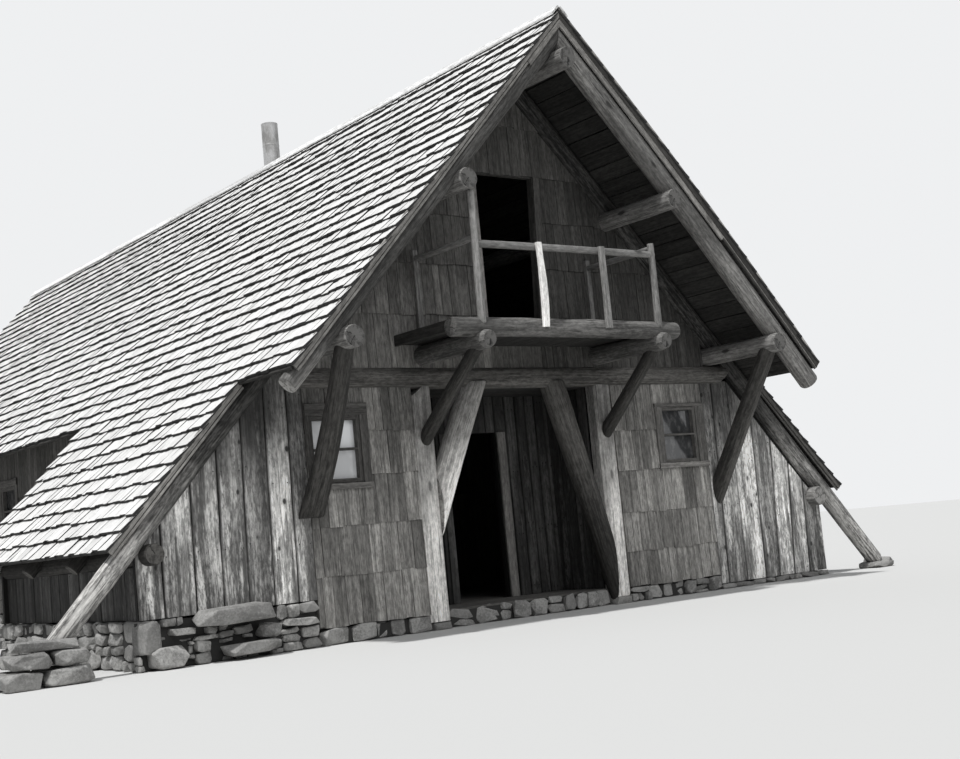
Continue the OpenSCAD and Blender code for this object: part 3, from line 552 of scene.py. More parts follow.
def finish_piece(name, mesh, material, slot, *nodes):
    """Puts a mesh in the scene as a piece that stands for CAD nodes."""
    mesh.materials.clear()
    mesh.materials.append(material_of(material))
    obj = bpy.data.objects.new(name, mesh)
    bpy.context.scene.collection.objects.link(obj)
    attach(obj, "root")
    if nodes:
        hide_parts(*nodes)
    return obj


def keep_solid(node, material):
    """Gives a solid of the frame, which stays, its material."""
    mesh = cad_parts[node].data
    mesh.materials.clear()
    mesh.materials.append(material_of(material))


def tube_faces(count, rings, closed=False):
    """Faces between rings of points. closed joins the last ring to the first."""
    return [(k * count + j, k * count + (j + 1) % count, (k + 1) % rings * count + (j + 1) % count,
             (k + 1) % rings * count + j)
            for k in range(rings if closed else rings - 1) for j in range(count)]


def sweep(shape, a, b, profile, rings, up=(0, 0, 1), start=None, stop=None, bend=(0, 0), tone=None, smooth=False, shrink=0.0):
    """A profile carried from a to b. start and stop are planes (point, normal) that cut its ends.
    profile(t) gives (across, up) offsets, bend is how far the middle strays, or a function of t, and
    shrink rounds the sawn ends."""
    a, b = Vector(a), Vector(b)
    axis = (b - a).normalized()
    length = (b - a).length
    lift = (Vector(up) - axis * Vector(up).dot(axis)).normalized()
    across = axis.cross(lift)
    tone = shape.random.random() if tone is None else tone
    first = profile(0.0)
    count = len(first)

    def cut(plane, offset, default):
        if plane is None:
            return default
        point, normal = Vector(plane[0]), Vector(plane[1])
        base = a + across * offset[0] + lift * offset[1]
        return (point - base).dot(normal) / axis.dot(normal)

    low = [cut(start, p, 0.0) for p in first]
    high = [cut(stop, p, length) for p in profile(1.0)]
    steps = [i / rings for i in range(rings + 1)]
    if shrink:
        rim = min(0.25, shrink / length)
        steps = [0.0, rim] + [rim + (1 - 2 * rim) * i / rings for i in range(1, rings)] + [1 - rim, 1.0]
    verts, grain = [], []
    for k, t in enumerate(steps):
        ring = profile(t)
        scale = 0.94 if shrink and k in (0, len(steps) - 1) else 1.0
        sway = bend(t) if callable(bend) else [side * math.sin(math.pi * t) for side in bend]
        for j, (p, q) in enumerate(ring):
            u = low[j] + t * (high[j] - low[j])
            p, q = p * scale, q * scale
            verts.append(a + axis * u + across * (p + sway[0]) + lift * (q + sway[1]))
            grain.append((p, u, q))
    faces = tube_faces(count, len(steps))
    sides = len(faces)
    for ring, order in ((0, -1), (len(steps) - 1, 1)):
        loop = [ring * count + j for j in range(count)]
        centre = len(verts)
        verts.append(sum((Vector(verts[i]) for i in loop), Vector()) / count)
        grain.append(tuple(sum(grain[i][c] for i in loop) / count for c in range(3)))
        for j in range(count):
            pair = (loop[j], loop[(j + 1) % count])
            faces.append((centre,) + (pair if order == 1 else pair[::-1]))
    shape.add(verts, faces, grain, tone, range(sides, len(faces)), range(sides) if smooth else ())


def log(shape, a, b, r0, r1=None, start=None, stop=None, sides=22, crook=None, tone=None, bend=None):
    """A peeled log with an uneven skin, a slight crook and swellings where branches grew."""
    r1 = r0 if r1 is None else r1
    pick = shape.random
    length = (Vector(b) - Vector(a)).length
    seed = pick.uniform(-50, 50)
    crook = bpy.context.scene.cabin_timber.crook * min(1.0, length / 4) if crook is None else crook
    knots = [(pick.random(), pick.uniform(0, 2 * math.pi), pick.uniform(0.05, 0.12)) for _ in range(int(length * 1.6))]

    def profile(t):
        ring = []
        for j in range(sides):
            angle = -2 * math.pi * j / sides
            c, s = math.cos(angle), math.sin(angle)
            r = r0 + (r1 - r0) * t
            grown = noise.noise((c * 1.1 + seed, s * 1.1, t * length * 1.1)) * 0.055
            grown += noise.noise((c * 3.2, s * 3.2 + seed, t * length * 3.0)) * 0.018
            for at, turn, size in knots:
                along = (t - at) * length / size
                if abs(along) < 2.5:
                    round_ = math.cos(angle + turn)
                    if round_ > 0.3:
                        grown += 0.07 * math.exp(-along * along * 1.4) * (round_ - 0.3) ** 2 * 2
            ring.append((c * r * (1 + grown), s * r * (1 + grown)))
        return ring

    own = (pick.uniform(-crook, crook), pick.uniform(-crook, crook))
    level = abs((Vector(b) - Vector(a)).normalized().z) < 0.95
    sweep(shape, a, b, profile, max(4, int(length / 0.16)), up=(0.02, 0.03, 1) if level else (0, 1, 0),
          start=start, stop=stop, bend=bend or own, smooth=True, shrink=0.02, tone=tone)


def board(shape, a, b, width, thick, up, start=None, rough=0.004, tone=None, rings=None, chamfer=0.004, bend=(0, 0)):
    """A sawn or split board from a to b. up points out of its face, and its back lies below."""
    length = (Vector(b) - Vector(a)).length
    seed = shape.random.uniform(-80, 80)
    cup = shape.random.uniform(-0.002, 0.004)
    c = min(chamfer, thick * 0.3)

    def profile(t):
        u = t * length
        left = width / 2 + noise.noise((seed, u * 2.1, 0)) * rough * 1.6
        right = width / 2 + noise.noise((seed + 9, u * 2.1, 0)) * rough * 1.6
        face = noise.noise((seed + 4, u * 1.3, 2)) * rough
        return [(-left, -thick), (-left, face - c), (-left + c, face), (0, face + cup),
                (right - c, face), (right, face - c), (right, -thick)]

    sweep(shape, a, b, profile, rings or max(2, int(length / 0.35)), up=up, start=start, bend=bend, tone=tone)


def prism(shape, outline, origin, across, along, out, front, back, tone, dark=0.0):
    """A flat piece with an outline in (across, along), between two faces that may slope."""
    origin, across, along, out = Vector(origin), Vector(across), Vector(along), Vector(out)
    count = len(outline)
    verts, grain = [], []
    for face in (front, back):
        for p, u in outline:
            depth = face(p, u) if callable(face) else face
            verts.append(origin + across * p + along * u + out * depth)
            grain.append((p, u, depth))
    faces = [tuple(range(count)), tuple(range(2 * count - 1, count - 1, -1))]
    faces += [(i + count, (i + 1) % count + count, (i + 1) % count, i) for i in range(count)]
    if across.cross(along).dot(out) < 0:
        faces = [f[::-1] for f in faces]
    shape.add(verts, faces, grain, tone, dark=dark)


def clip(outline, a, b, c):
    """The part of a convex outline where a*x + b*y <= c."""
    result = []
    for i, p in enumerate(outline):
        q = outline[(i + 1) % len(outline)]
        dp, dq = a * p[0] + b * p[1] - c, a * q[0] + b * q[1] - c
        if dp <= 0:
            result.append(p)
        if dp * dq < 0:
            t = dp / (dp - dq)
            result.append((p[0] + (q[0] - p[0]) * t, p[1] + (q[1] - p[1]) * t))
    return result if len(result) > 2 else []


def area(outline):
    return abs(sum(p[0] * q[1] - q[0] * p[1] for p, q in zip(outline, outline[1:] + outline[:1]))) / 2


def within(outline, region, holes=()):
    """Convex parts of an outline inside a convex region and outside upright holes."""
    for a, b, c in region:
        outline = clip(outline, a, b, c)
    parts = [outline] if outline else []
    for x0, x1, z0, z1 in holes:
        left_over = []
        for part in parts:
            left_over.append(clip(part, 1, 0, x0))
            left_over.append(clip(part, -1, 0, -x1))
            middle = clip(clip(part, -1, 0, -x0), 1, 0, x1)
            left_over += [clip(middle, 0, 1, z0), clip(middle, 0, -1, -z1)]
        parts = [p for p in left_over if p and area(p) > 2e-5]
    return parts


def gable_region(depth=SEAT_D):
    """Half-planes under both slopes, in (x, z)."""
    top = RIDGE_Z - depth / RUN
    return [(TAN, 1, top), (-TAN, 1, top)]


def shake_wall(shape, spans, levels, region, holes, place, butt):
    """Courses of long wall shakes. place = (origin, across, along, out); levels run upwards."""
    pick = shape.random
    origin, across, along, out = place
    for low, high in zip(levels, levels[1:]):
        x = spans[0] - pick.uniform(0, 0.1)
        while x < spans[1]:
            w = pick.uniform(0.1, 0.22)
            bottom = low + pick.gauss(0, 0.006)
            head = high + 0.06
            reach = high - bottom + 0.06
            lean = pick.uniform(-0.004, 0.004)
            x0, x1 = x + 0.003, x + w - 0.003
            outline = [(x0, bottom), (x + w * 0.5, bottom + pick.uniform(-0.004, 0.004)),
                       (x1, bottom + pick.uniform(-0.004, 0.004)), (x1 + lean, head), (x0 + lean, head)]
            outline = clip(clip(outline, -1, 0, -spans[0]), 1, 0, spans[1])
            thick = butt * pick.uniform(0.75, 1.0)
            tone = pick.random()
            twist = pick.uniform(-0.02, 0.02)
            middle = x + w / 2

            def face(p, u):
                return max(0.003, thick - (u - bottom) / reach * (thick - 0.004) + twist * (p - middle))

            for part in within(outline, region, holes):
                prism(shape, part, origin, across, along, out, face, -0.012, tone)
            x += w


def window_hole(middle, low=WINDOW_LOW, top=WINDOW_TOP):
    return (middle - WINDOW_W / 2, middle + WINDOW_W / 2, low, top)


def wall_core(shape, outline, region, holes, place, front, back):
    """Plain boarding behind shakes or planks."""
    origin, across, along, out = place
    for part in within(outline, region, holes):
        prism(shape, part, origin, across, along, out, front, back, 0.4)


def variants_of(meshes, name):
    """A hidden collection of meshes to pick from, made of their vertices and faces."""
    collection = bpy.data.collections.new(name + "s")
    for number, (verts, faces) in enumerate(meshes):
        mesh = bpy.data.meshes.new(f"{name}_{number}")
        mesh.from_pydata(verts, [], faces)
        collection.objects.link(bpy.data.objects.new(mesh.name, mesh))
    return collection


COURSES = "Courses of pieces"


def courses_tree():
    """Rows of pieces with uneven widths, as nodes: the pieces come from a collection and are one unit wide."""
    tree = bpy.data.node_groups.new(COURSES, "GeometryNodeTree")
    tree.is_modifier = True
    face = tree.interface
    face.new_socket("Geometry", in_out="INPUT", socket_type="NodeSocketGeometry")
    face.new_socket("Geometry", in_out="OUTPUT", socket_type="NodeSocketGeometry")
    kinds = {"Variants": "Collection", "Rows": "Int", "Seed": "Int", "Material": "Material"}
    for name in ("Variants", "Length", "Rows", "Row Pitch", "Piece Width", "Gap", "Uneven", "Row Wander", "Lift", "Twist",
                 "Seed", "Material"):
        face.new_socket(name, in_out="INPUT", socket_type="NodeSocket" + kinds.get(name, "Float"))
    given = tree.nodes.new("NodeGroupInput").outputs
    t = Tree(tree)
    cols = t.math("MAXIMUM", t.math("FLOOR", t.math("DIVIDE", given["Length"], given["Piece Width"])), 1.0)
    points = t.add("GeometryNodeMeshLine", {"Count": t.times(cols, given["Rows"]), "Offset": (0, 0, 0)})
    index = t.add("GeometryNodeInputIndex")
    row = t.math("FLOOR", t.math("DIVIDE", t.plus(index, 0.5), cols))
    col = t.minus(index, t.times(row, cols))
    mark = t.plus(t.times(row, t.plus(cols, 1.0)), col)

    def random_value(low, high, identity, offset):
        inputs = {2: low, 3: high, 7: identity, 8: t.plus(given["Seed"], float(offset))}
        return t.add("FunctionNodeRandomValue", inputs, 1, data_type="FLOAT")

    def edge(step):
        place = t.plus(col, float(step))
        past_first = t.math("GREATER_THAN", place, 0.5)
        inner = t.times(past_first, t.math("LESS_THAN", place, t.minus(cols, 0.5)))
        stray = t.times(random_value(-1.0, 1.0, t.plus(mark, float(step)), 0), given["Uneven"])
        return t.plus(place, t.times(stray, inner))

    unit = t.math("DIVIDE", given["Length"], cols)
    first, last = edge(0), edge(1)
    x = t.times(t.times(t.plus(first, last), 0.5), unit)
    width = t.minus(t.times(t.minus(last, first), unit), given["Gap"])
    spot = t.xyz(t.times(x, 0.55), t.times(row, 3.7), t.times(given["Seed"], 1.3))
    slow = t.add("ShaderNodeTexNoise", {"Vector": spot, "Scale": 1.0, "Detail": 2.0})
    stray = t.plus(t.times(t.minus(slow, 0.5), 3.0), t.times(random_value(-1.0, 1.0, mark, 1), 0.75))
    y = t.plus(t.times(t.plus(row, 1.0), given["Row Pitch"]), t.times(stray, given["Row Wander"]))
    z = t.times(random_value(0.0, 1.0, mark, 2), given["Lift"])
    placed = t.add("GeometryNodeSetPosition", {"Geometry": points, "Position": t.xyz(x, y, z)})
    turn = t.xyz(t.times(random_value(-1.0, 1.0, mark, 3), given["Twist"]),
                 t.times(random_value(-1.0, 1.0, mark, 4), given["Twist"]),
                 t.times(random_value(-1.0, 1.0, mark, 5), t.times(given["Twist"], 0.6)))
    apart = {"Collection": given["Variants"], "Separate Children": True, "Reset Children": True}
    variants = t.add("GeometryNodeCollectionInfo", apart)
    pick = t.add("FunctionNodeRandomValue", {4: 0, 5: 50, 7: mark, 8: given["Seed"]}, 2, data_type="INT")
    laid = t.add("GeometryNodeInstanceOnPoints", {"Points": placed, "Instance": variants, "Pick Instance": True,
                                                  "Instance Index": pick, "Rotation": turn, "Scale": t.xyz(width, 1.0, 1.0)})
    named = {"Geometry": laid, "Name": "tone", "Value": random_value(0.0, 1.0, mark, 6)}
    toned = t.add("GeometryNodeStoreNamedAttribute", named, data_type="FLOAT", domain="INSTANCE")
    real = t.add("GeometryNodeRealizeInstances", {"Geometry": toned})
    done = t.add("GeometryNodeSetMaterial", {"Geometry": real, "Material": given["Material"]})
    t.close("NodeGroupOutput", done)
    return tree


def courses(variants, values, material, place, head=None, turned=False, bowed=0.0):
    """Runs the tree and returns (vertices, faces, grain, tone) placed by a matrix.
    head is where the courses stop at their upper end, turned lays the grain along x, and bowed lifts
    them towards the front edge."""
    tree = bpy.data.node_groups.get(COURSES) or courses_tree()
    holder = bpy.data.objects.new("courses", bpy.data.meshes.new("courses"))
    bpy.context.scene.collection.objects.link(holder)
    modifier = holder.modifiers.new("courses", "NODES")
    modifier.node_group = tree
    filled = dict(values, Variants=variants, Material=material_of(material))
    for socket in tree.interface.items_tree:
        if socket.in_out == "INPUT" and socket.name in filled:
            modifier[socket.identifier] = filled[socket.name]
    bpy.context.view_layer.update()
    evaluated = holder.evaluated_get(bpy.context.evaluated_depsgraph_get())
    mesh = bpy.data.meshes.new_from_object(evaluated)
    bpy.data.objects.remove(holder)
    count = len(mesh.vertices)
    co = np.empty(count * 3, np.float32)
    mesh.vertices.foreach_get("co", co)
    tone = np.empty(count, np.float32)
    mesh.attributes["tone"].data.foreach_get("value", tone)
    faces = [tuple(p.vertices) for p in mesh.polygons]
    bpy.data.meshes.remove(mesh)
    co = co.reshape(-1, 3)
    if head is not None:
        co[:, 1] = np.maximum(co[:, 1], head)
    place = np.array(place)
    world = co @ place[:3, :3].T + place[:3, 3]
    if bowed:
        rise = np.sin(np.pi * np.clip(world[:, 0] / RUN / EAVE_S, 0, 1))
        rise *= np.clip(1 - (world[:, 1] + HALF_L) / BOW_REACH, 0, 1) ** 2
        world += place[:3, 2] * (bowed * rise)[:, None]
    return world, faces, co[:, [1, 0, 2]] if turned else co, tone


class Fields:
    """Courses collected into one piece."""

    def __init__(self):
        self.parts = []

    def add(self, *args, **options):
        self.parts.append(courses(*args, **options))

    def piece(self, name, material, slot, *nodes):
        verts, grain, tone = (np.concatenate([part[k] for part in self.parts]) for k in (0, 2, 3))
        faces, first = [], 0
        for part in self.parts:
            faces += [tuple(first + i for i in f) for f in part[1]]
            first += len(part[0])
        shakes = material == "roof_shake"
        whole = Shape(1)
        whole.verts, whole.grain, whole.tone, whole.faces = verts.tolist(), grain.tolist(), tone.tolist(), faces
        # Painted shade: the covered part of each shake, its butt and its sides are marked to be darkened
        whole.edge = [1.0 if not shakes or i % SHAKE_VERTS < SHAKE_LIT else 0.0 for i in range(len(verts))]
        whole.end = [0.5 if shakes and i % SHAKE_FACES in SHAKE_SHADED else 0.0 for i in range(len(faces))]
        whole.smooth = [False] * len(faces)
        return whole.piece(name, material, slot, *nodes)


# Each shake's mesh: its vertices, how many of them lie in the open part (the rest takes painted shade), its
# faces, and the faces of its butt and sides, which take painted shade
SHAKE_VERTS, SHAKE_LIT, SHAKE_FACES, SHAKE_SHADED = 19, 10, 13, (8, 10, 11)


def shake_variants(exposure, butt, seed):
    """Seven split shakes one unit wide, with the butt at y = 0 and the head up the slope."""
    pick = random.Random(seed)
    meshes = []
    head = -exposure * 1.5
    for _ in range(7):
        across = [-0.5, -0.24 + pick.uniform(-0.08, 0.08), pick.uniform(-0.07, 0.07), 0.25 + pick.uniform(-0.08, 0.08), 0.5]
        verts = []
        for y in (0.0, -exposure * 0.55, head):
            for i, x in enumerate(across):
                ragged = pick.uniform(-0.003, 0.003) if y == 0 else 0
                drop = butt * y / exposure
                verts.append((x, y + ragged, drop - pick.uniform(0, 0.004) - (0.002 if i in (0, 4) else 0)))
        tip = head * butt / exposure - 0.006
        verts += [(0.5, 0.001, -butt - 0.004), (-0.5, 0.001, -butt - 0.004), (0.5, head, tip), (-0.5, head, tip)]
        faces = [(r * 5 + i + 5, r * 5 + i + 6, r * 5 + i + 1, r * 5 + i) for r in range(2) for i in range(4)]
        faces += [(0, 1, 2, 3, 4, 15, 16), (14, 13, 12, 11, 10, 18, 17), (10, 5, 0, 16, 18), (4, 9, 14, 17, 15),
                  (16, 15, 17, 18)]
        meshes.append((verts, faces))
    return variants_of(meshes, "shake")


def board_variants(width, thick, seed, cuts=8):
    """Three long boards one unit long in x, with uneven edges; the face is at z = 0."""
    pick = random.Random(seed)
    meshes = []
    for _ in range(3):
        verts, faces = [], []
        for k in range(cuts + 1):
            x = k / cuts - 0.5
            low, high = -width + pick.uniform(-0.002, 0.002), pick.uniform(-0.002, 0.002)
            dip = pick.uniform(-0.001, 0.001)
            verts += [(x, low, -thick), (x, high, -thick), (x, high, dip), (x, low, dip)]
        for k in range(cuts):
            for j in range(4):
                n = (j + 1) % 4
                faces.append((k * 4 + j, (k + 1) * 4 + j, (k + 1) * 4 + n, k * 4 + n))
        faces += [(0, 1, 2, 3), tuple(cuts * 4 + i for i in (3, 2, 1, 0))]
        meshes.append((verts, faces))
    return variants_of(meshes, "board")


def rock(shape, centre, size, turn=0.0, wear=0.22, tilt=0.0, square=(0.5, 0.4, 0.4), count=15):
    """A field stone: the hull of random points of a rounded block, with worn edges, no lower than the
    ground. The lower the powers in square, the boxier it gets."""
    pick = shape.random
    bm = bmesh.new()
    spin = pick.uniform(0, 6.28)
    for k in range(count):
        z = 1 - 2 * (k + 0.5) / count
        ring = math.sqrt(1 - z * z)
        turned = spin + k * 2.39996 + pick.uniform(-0.3, 0.3)
        way = (ring * math.cos(turned), ring * math.sin(turned), z)
        reach = pick.uniform(1 - wear, 1.0)
        bm.verts.new([math.copysign(abs(w) ** power, w) * 0.5 * length * reach for w, power,
                      length in zip(way, square, size)])
    bmesh.ops.convex_hull(bm, input=bm.verts[:])
    bmesh.ops.delete(bm, geom=[v for v in bm.verts if not v.link_faces], context="VERTS")
    bmesh.ops.dissolve_limit(bm, angle_limit=math.radians(16), verts=bm.verts[:], edges=bm.edges[:])
    bmesh.ops.bevel(bm, geom=bm.edges[:], offset=min(size) * 0.035, segments=1, profile=0.6, affect="EDGES",
                    clamp_overlap=True)
    bmesh.ops.remove_doubles(bm, verts=bm.verts[:], dist=0.0005)
    bm.verts.index_update()
    place = Matrix.Translation(centre) @ Matrix.Rotation(turn, 4, "Z") @ Matrix.Rotation(tilt, 4, "Y")
    seed = pick.uniform(-90, 90)
    verts, grain = [], []
    for v in bm.verts:
        p = v.co * (1 + 0.05 * noise.noise((v.co.x * 4 + seed, v.co.y * 4, v.co.z * 4)))
        grain.append(tuple(p))
        p = place @ p
        verts.append((p.x, p.y, max(0.0, p.z)))
    faces = [[v.index for v in f.verts] for f in bm.faces]
    bm.free()
    shape.add(verts, faces, grain, pick.random())


def rubble(shape, a, b, depth, high, course, out, keep=()):
    """Rubble from the ground up, between two points of a wall line: its face is split at random into
    stones of mixed sizes, over a core painted dark as the shade between them. keep holds (u0, u1, z0, z1) that other
    stones take."""
    pick = shape.random
    a, b, out = Vector(a), Vector(b), Vector(out)
    length = (b - a).length
    along = (b - a) / length
    turn = math.atan2(along.y, along.x)
    long = bpy.context.scene.cabin_stone.length

    def split(u0, u1, z0, z1):
        w, h = u1 - u0, z1 - z0
        if any(u0 < k[1] - 0.02 and u1 > k[0] + 0.02 and z0 < k[3] - 0.02 and z1 > k[2] + 0.02 for k in keep):
            if w < 0.12 and h < 0.1:
                return
        elif w < long * pick.uniform(0.4, 1.4) and h < course * pick.uniform(0.75, 1.5):
            inset = pick.choice((0.0, 0.0, 0.02, 0.05)) + pick.uniform(0.0, 0.02)
            centre = a + along * (u0 + u1) / 2 - out * (depth / 2 + inset)
            rock(shape, (centre.x, centre.y, (z0 + z1) / 2), (w * 1.12, depth * 1.1, h * 1.14),
                 turn + pick.uniform(-0.16, 0.16), tilt=pick.uniform(-0.12, 0.12))
            return
        at = pick.uniform(0.36, 0.64)
        if w / h > pick.uniform(1.3, 2.6):
            split(u0, u0 + w * at, z0, z1)
            split(u0 + w * at, u1, z0, z1)
        else:
            split(u0, u1, z0, z0 + h * at)
            split(u0, u1, z0 + h * at, z1)

    split(0.0, length, 0, high)
    if high > 0.1:
        # A core painted dark as the shade in the gaps between the stones
        core = [(0.03, 0.01), (length - 0.03, 0.01), (length - 0.03, high - 0.02), (0.03, high - 0.02)]
        prism(shape, core, a, along, (0, 0, 1), out, -0.085, -depth * 0.95, 1.0, dark=0.5)


def placed(x, y, z, origin):
    """Matrix with the given axes and origin."""
    return Matrix(tuple(zip(x, y, z, origin)) + ((0, 0, 0, 1),))


def slope_place(side, s, depth, end_y, kick=0.0):
    """Matrix that lays courses on a slope: x runs along the ridge, y down the slope, z outwards.
    kick is how much less steep they lie than the slope."""
    out = Vector((side * RISE, 0, RUN))
    down = (Vector((side * RUN, 0, -RISE)) + out * kick).normalized()
    out = (out - down * out.dot(down)).normalized()
    along = down.cross(out)
    start = slope_point(side, s, depth, end_y)
    return placed(along, down, out, start)


# Pieces


class CABIN_OT_roof(bpy.types.Operator):
    """Split shakes in courses on both slopes and the wings, over open sheathing"""
    bl_idname = "cabin.roof"
    bl_label = "Roof shakes"

    def execute(self, context):
        given = context.scene.cabin_roof
        exposure = EAVE_S / given.courses
        shakes = shake_variants(exposure, given.butt, 11)
        boards = board_variants(exposure * 0.94, 0.028, 12)
        loose = (shakes, "roof_shake", 0.008, {"Piece Width": given.shake_width, "Gap": given.shake_gap, "Uneven": 0.3,
                                               "Row Wander": given.wander, "Lift": 0.011, "Twist": 0.016})
        # The sheathing is painted in shade under the roof
        sawn = (boards, "sheathing", 0.043, {"Piece Width": 3.6, "Gap": 0.004, "Uneven": 0.15, "Row Wander": 0.002,
                                             "Lift": 0.0, "Twist": 0.0004})

        def field(fields, kind, side, s0, rows, pitch, y_low, length, seed, kick=0.0, **options):
            variants, finish, depth, values = kind
            values = dict(values, **{"Length": length, "Rows": rows, "Row Pitch": pitch, "Seed": seed})
            place = slope_place(side, s0, depth, y_low + length if side == RIGHT else y_low, kick)
            fields.add(variants, values, finish, place, **options)

        inset = 0.004
        for side, name in SIDE_NAMES.items():
            main, wings, under, wing_under = Fields(), Fields(), Fields(), Fields()
            field(main, loose, side, 0.004, given.courses, exposure, -HALF_L + inset, 2 * (HALF_L - inset), 21 + side,
                  head=0.002, bowed=BOW_SHAKES if side == RIGHT else 0.0)
            field(under, sawn, side, 0.05, given.courses, exposure * 0.995, -HALF_L + RAKE_BACK,
                  2 * (HALF_L - RAKE_BACK), 23 + side, turned=True)
            pitch = (WING_EAVE_S - EAVE_S) / given.wing_courses
            for end in ENDS:
                low = min(at_y(end, WING_Y), at_y(end, WING_END_Y))
                kick = WING_KICK if (side, end) == (RIGHT, FRONT) else 0.0
                field(wings, loose, side, EAVE_S, given.wing_courses, pitch, low + inset,
                      WING_END_Y - WING_Y - 2 * inset, 31 + side + 3 * end, kick)
                field(wing_under, sawn, side, EAVE_S, given.wing_courses, pitch * 0.995, low + RAKE_BACK,
                      WING_END_Y - WING_Y - 2 * RAKE_BACK, 37 + side + 3 * end, kick, turned=True)
            for fields, title, finish, node in ((main, "shakes", "roof_shake", "main_roof"),
                                                (wings, "wing_shakes", "roof_shake", "wing_roofs"),
                                                (under, "sheathing", "sheathing", "main_roof"),
                                                (wing_under, "wing_sheathing", "sheathing", "wing_roofs")):
                fields.piece(f"{title}_{name}", finish, "roof_shakes", f"{node}_{name}")
        return {"FINISHED"}


class CABIN_OT_ridge(bpy.types.Operator):
    """Two rows of boards that cap the ridge"""
    bl_idname = "cabin.ridge"
    bl_label = "Ridge boards"

    def execute(self, context):
        shape = Shape(41)
        for side in SIDES:
            y = -HALF_L + 0.002
            while y < HALF_L - 0.01:
                stop = min(HALF_L - 0.002, y + shape.random.uniform(2.6, 3.9))
                s = 0.08 + shape.random.uniform(-0.004, 0.004)
                up = Vector((side * RISE, 0, RUN))
                lift = -0.022 if side == LEFT else -0.019
                a, b = slope_point(side, s, lift, y), slope_point(side, s, lift, stop - 0.004)
                board(shape, a, b, 0.15, 0.02, up, rough=0.003)
                y = stop
        shape.piece("ridge_boards", "ridge_board", "ridge_board", "ridge_cap")
        return {"FINISHED"}


class CABIN_OT_rakes(bpy.types.Operator):
    """Rake boards in two layers along every sloping roof edge"""
    bl_idname = "cabin.rakes"
    bl_label = "Rake boards"

    def execute(self, context):
        for side, name in SIDE_NAMES.items():
            shape = Shape(51 + side)
            plumb = ((0, 0, 0), (side, 0, 0))

            def strip(s0, s1, d0, d1, y, out, thick, start=None, lift=0.0, rings=12, tone=0.45, most=0.0):
                d = (d0 + d1) / 2
                board(shape, slope_point(side, s0, d, y), slope_point(side, s1, d - lift, y), d1 - d0, thick, (0, out, 0),
                      start=start, rough=0.003, rings=rings, tone=tone,
                      bend=lambda t: (-bow(s0 + (s1 - s0) * t, most), 0.0))

            for end in ENDS:
                y = at_y(end, RAKE_IN + 0.004)
                # The upper part has a deeper, paler board under the face board
                bowed = (side, end) == (RIGHT, FRONT)
                deep, shaded = (3.5, 0.1) if bowed else (0.9, 0.6)
                most = BOW_RAKE if bowed else 0.0
                for d0, d1, back, thick in RAKE_LAYERS:
                    strip(deep if back else 0.0, EAVE_S - 0.006, d0, d1, y - end * back, end, thick,
                          None if back else plumb, rings=18, tone=shaded, most=most)
                strip(0.0, deep, 0.102, 0.162, y - end * 0.004, end, 0.02, plumb, tone=0.7, most=most)
                if bowed:
                    # Pale edges, painted highlights: the lit arris of the face board, and the lit shake edges that
                    # stand over it
                    for s0, d0, d1, off, tone, far in ((0.0, 0.094, 0.103, -0.004, 1.0, most),
                                                       (0.1, -0.004, 0.024, 0.002, 0.9, BOW_SHAKES)):
                        strip(s0, EAVE_S - 0.006, d0, d1, y + end * off, end, 0.014, plumb, rings=18, tone=tone, most=far)
                for depth, out in ((WING_Y, 1), (WING_END_Y, -1)):
                    kick = WING_KICK * (WING_EAVE_S - EAVE_S) if bowed else 0.0
                    y_wing = at_y(end, depth + out * (RAKE_IN + 0.004))
                    # The right front wing's boards are darker as painted shade, and a pale strip along their top is a
                    # painted highlight
                    tone = 0.25 if kick else 0.65
                    layers = [layer + (tone,) for layer in RAKE_LAYERS]
                    if kick:
                        layers.append((0.012, 0.026, 0.0, 0.014, 1.0))
                    for d0, d1, back, thick, tone in layers:
                        strip(EAVE_S + 0.004, WING_EAVE_S - 0.006, d0, d1, y_wing - end * out * back, end * out, thick,
                              lift=kick, rings=8, tone=tone)
            shape.piece(f"rake_{name}", "rake_board", "rake_boards", f"rake_boards_{name}")
        return {"FINISHED"}


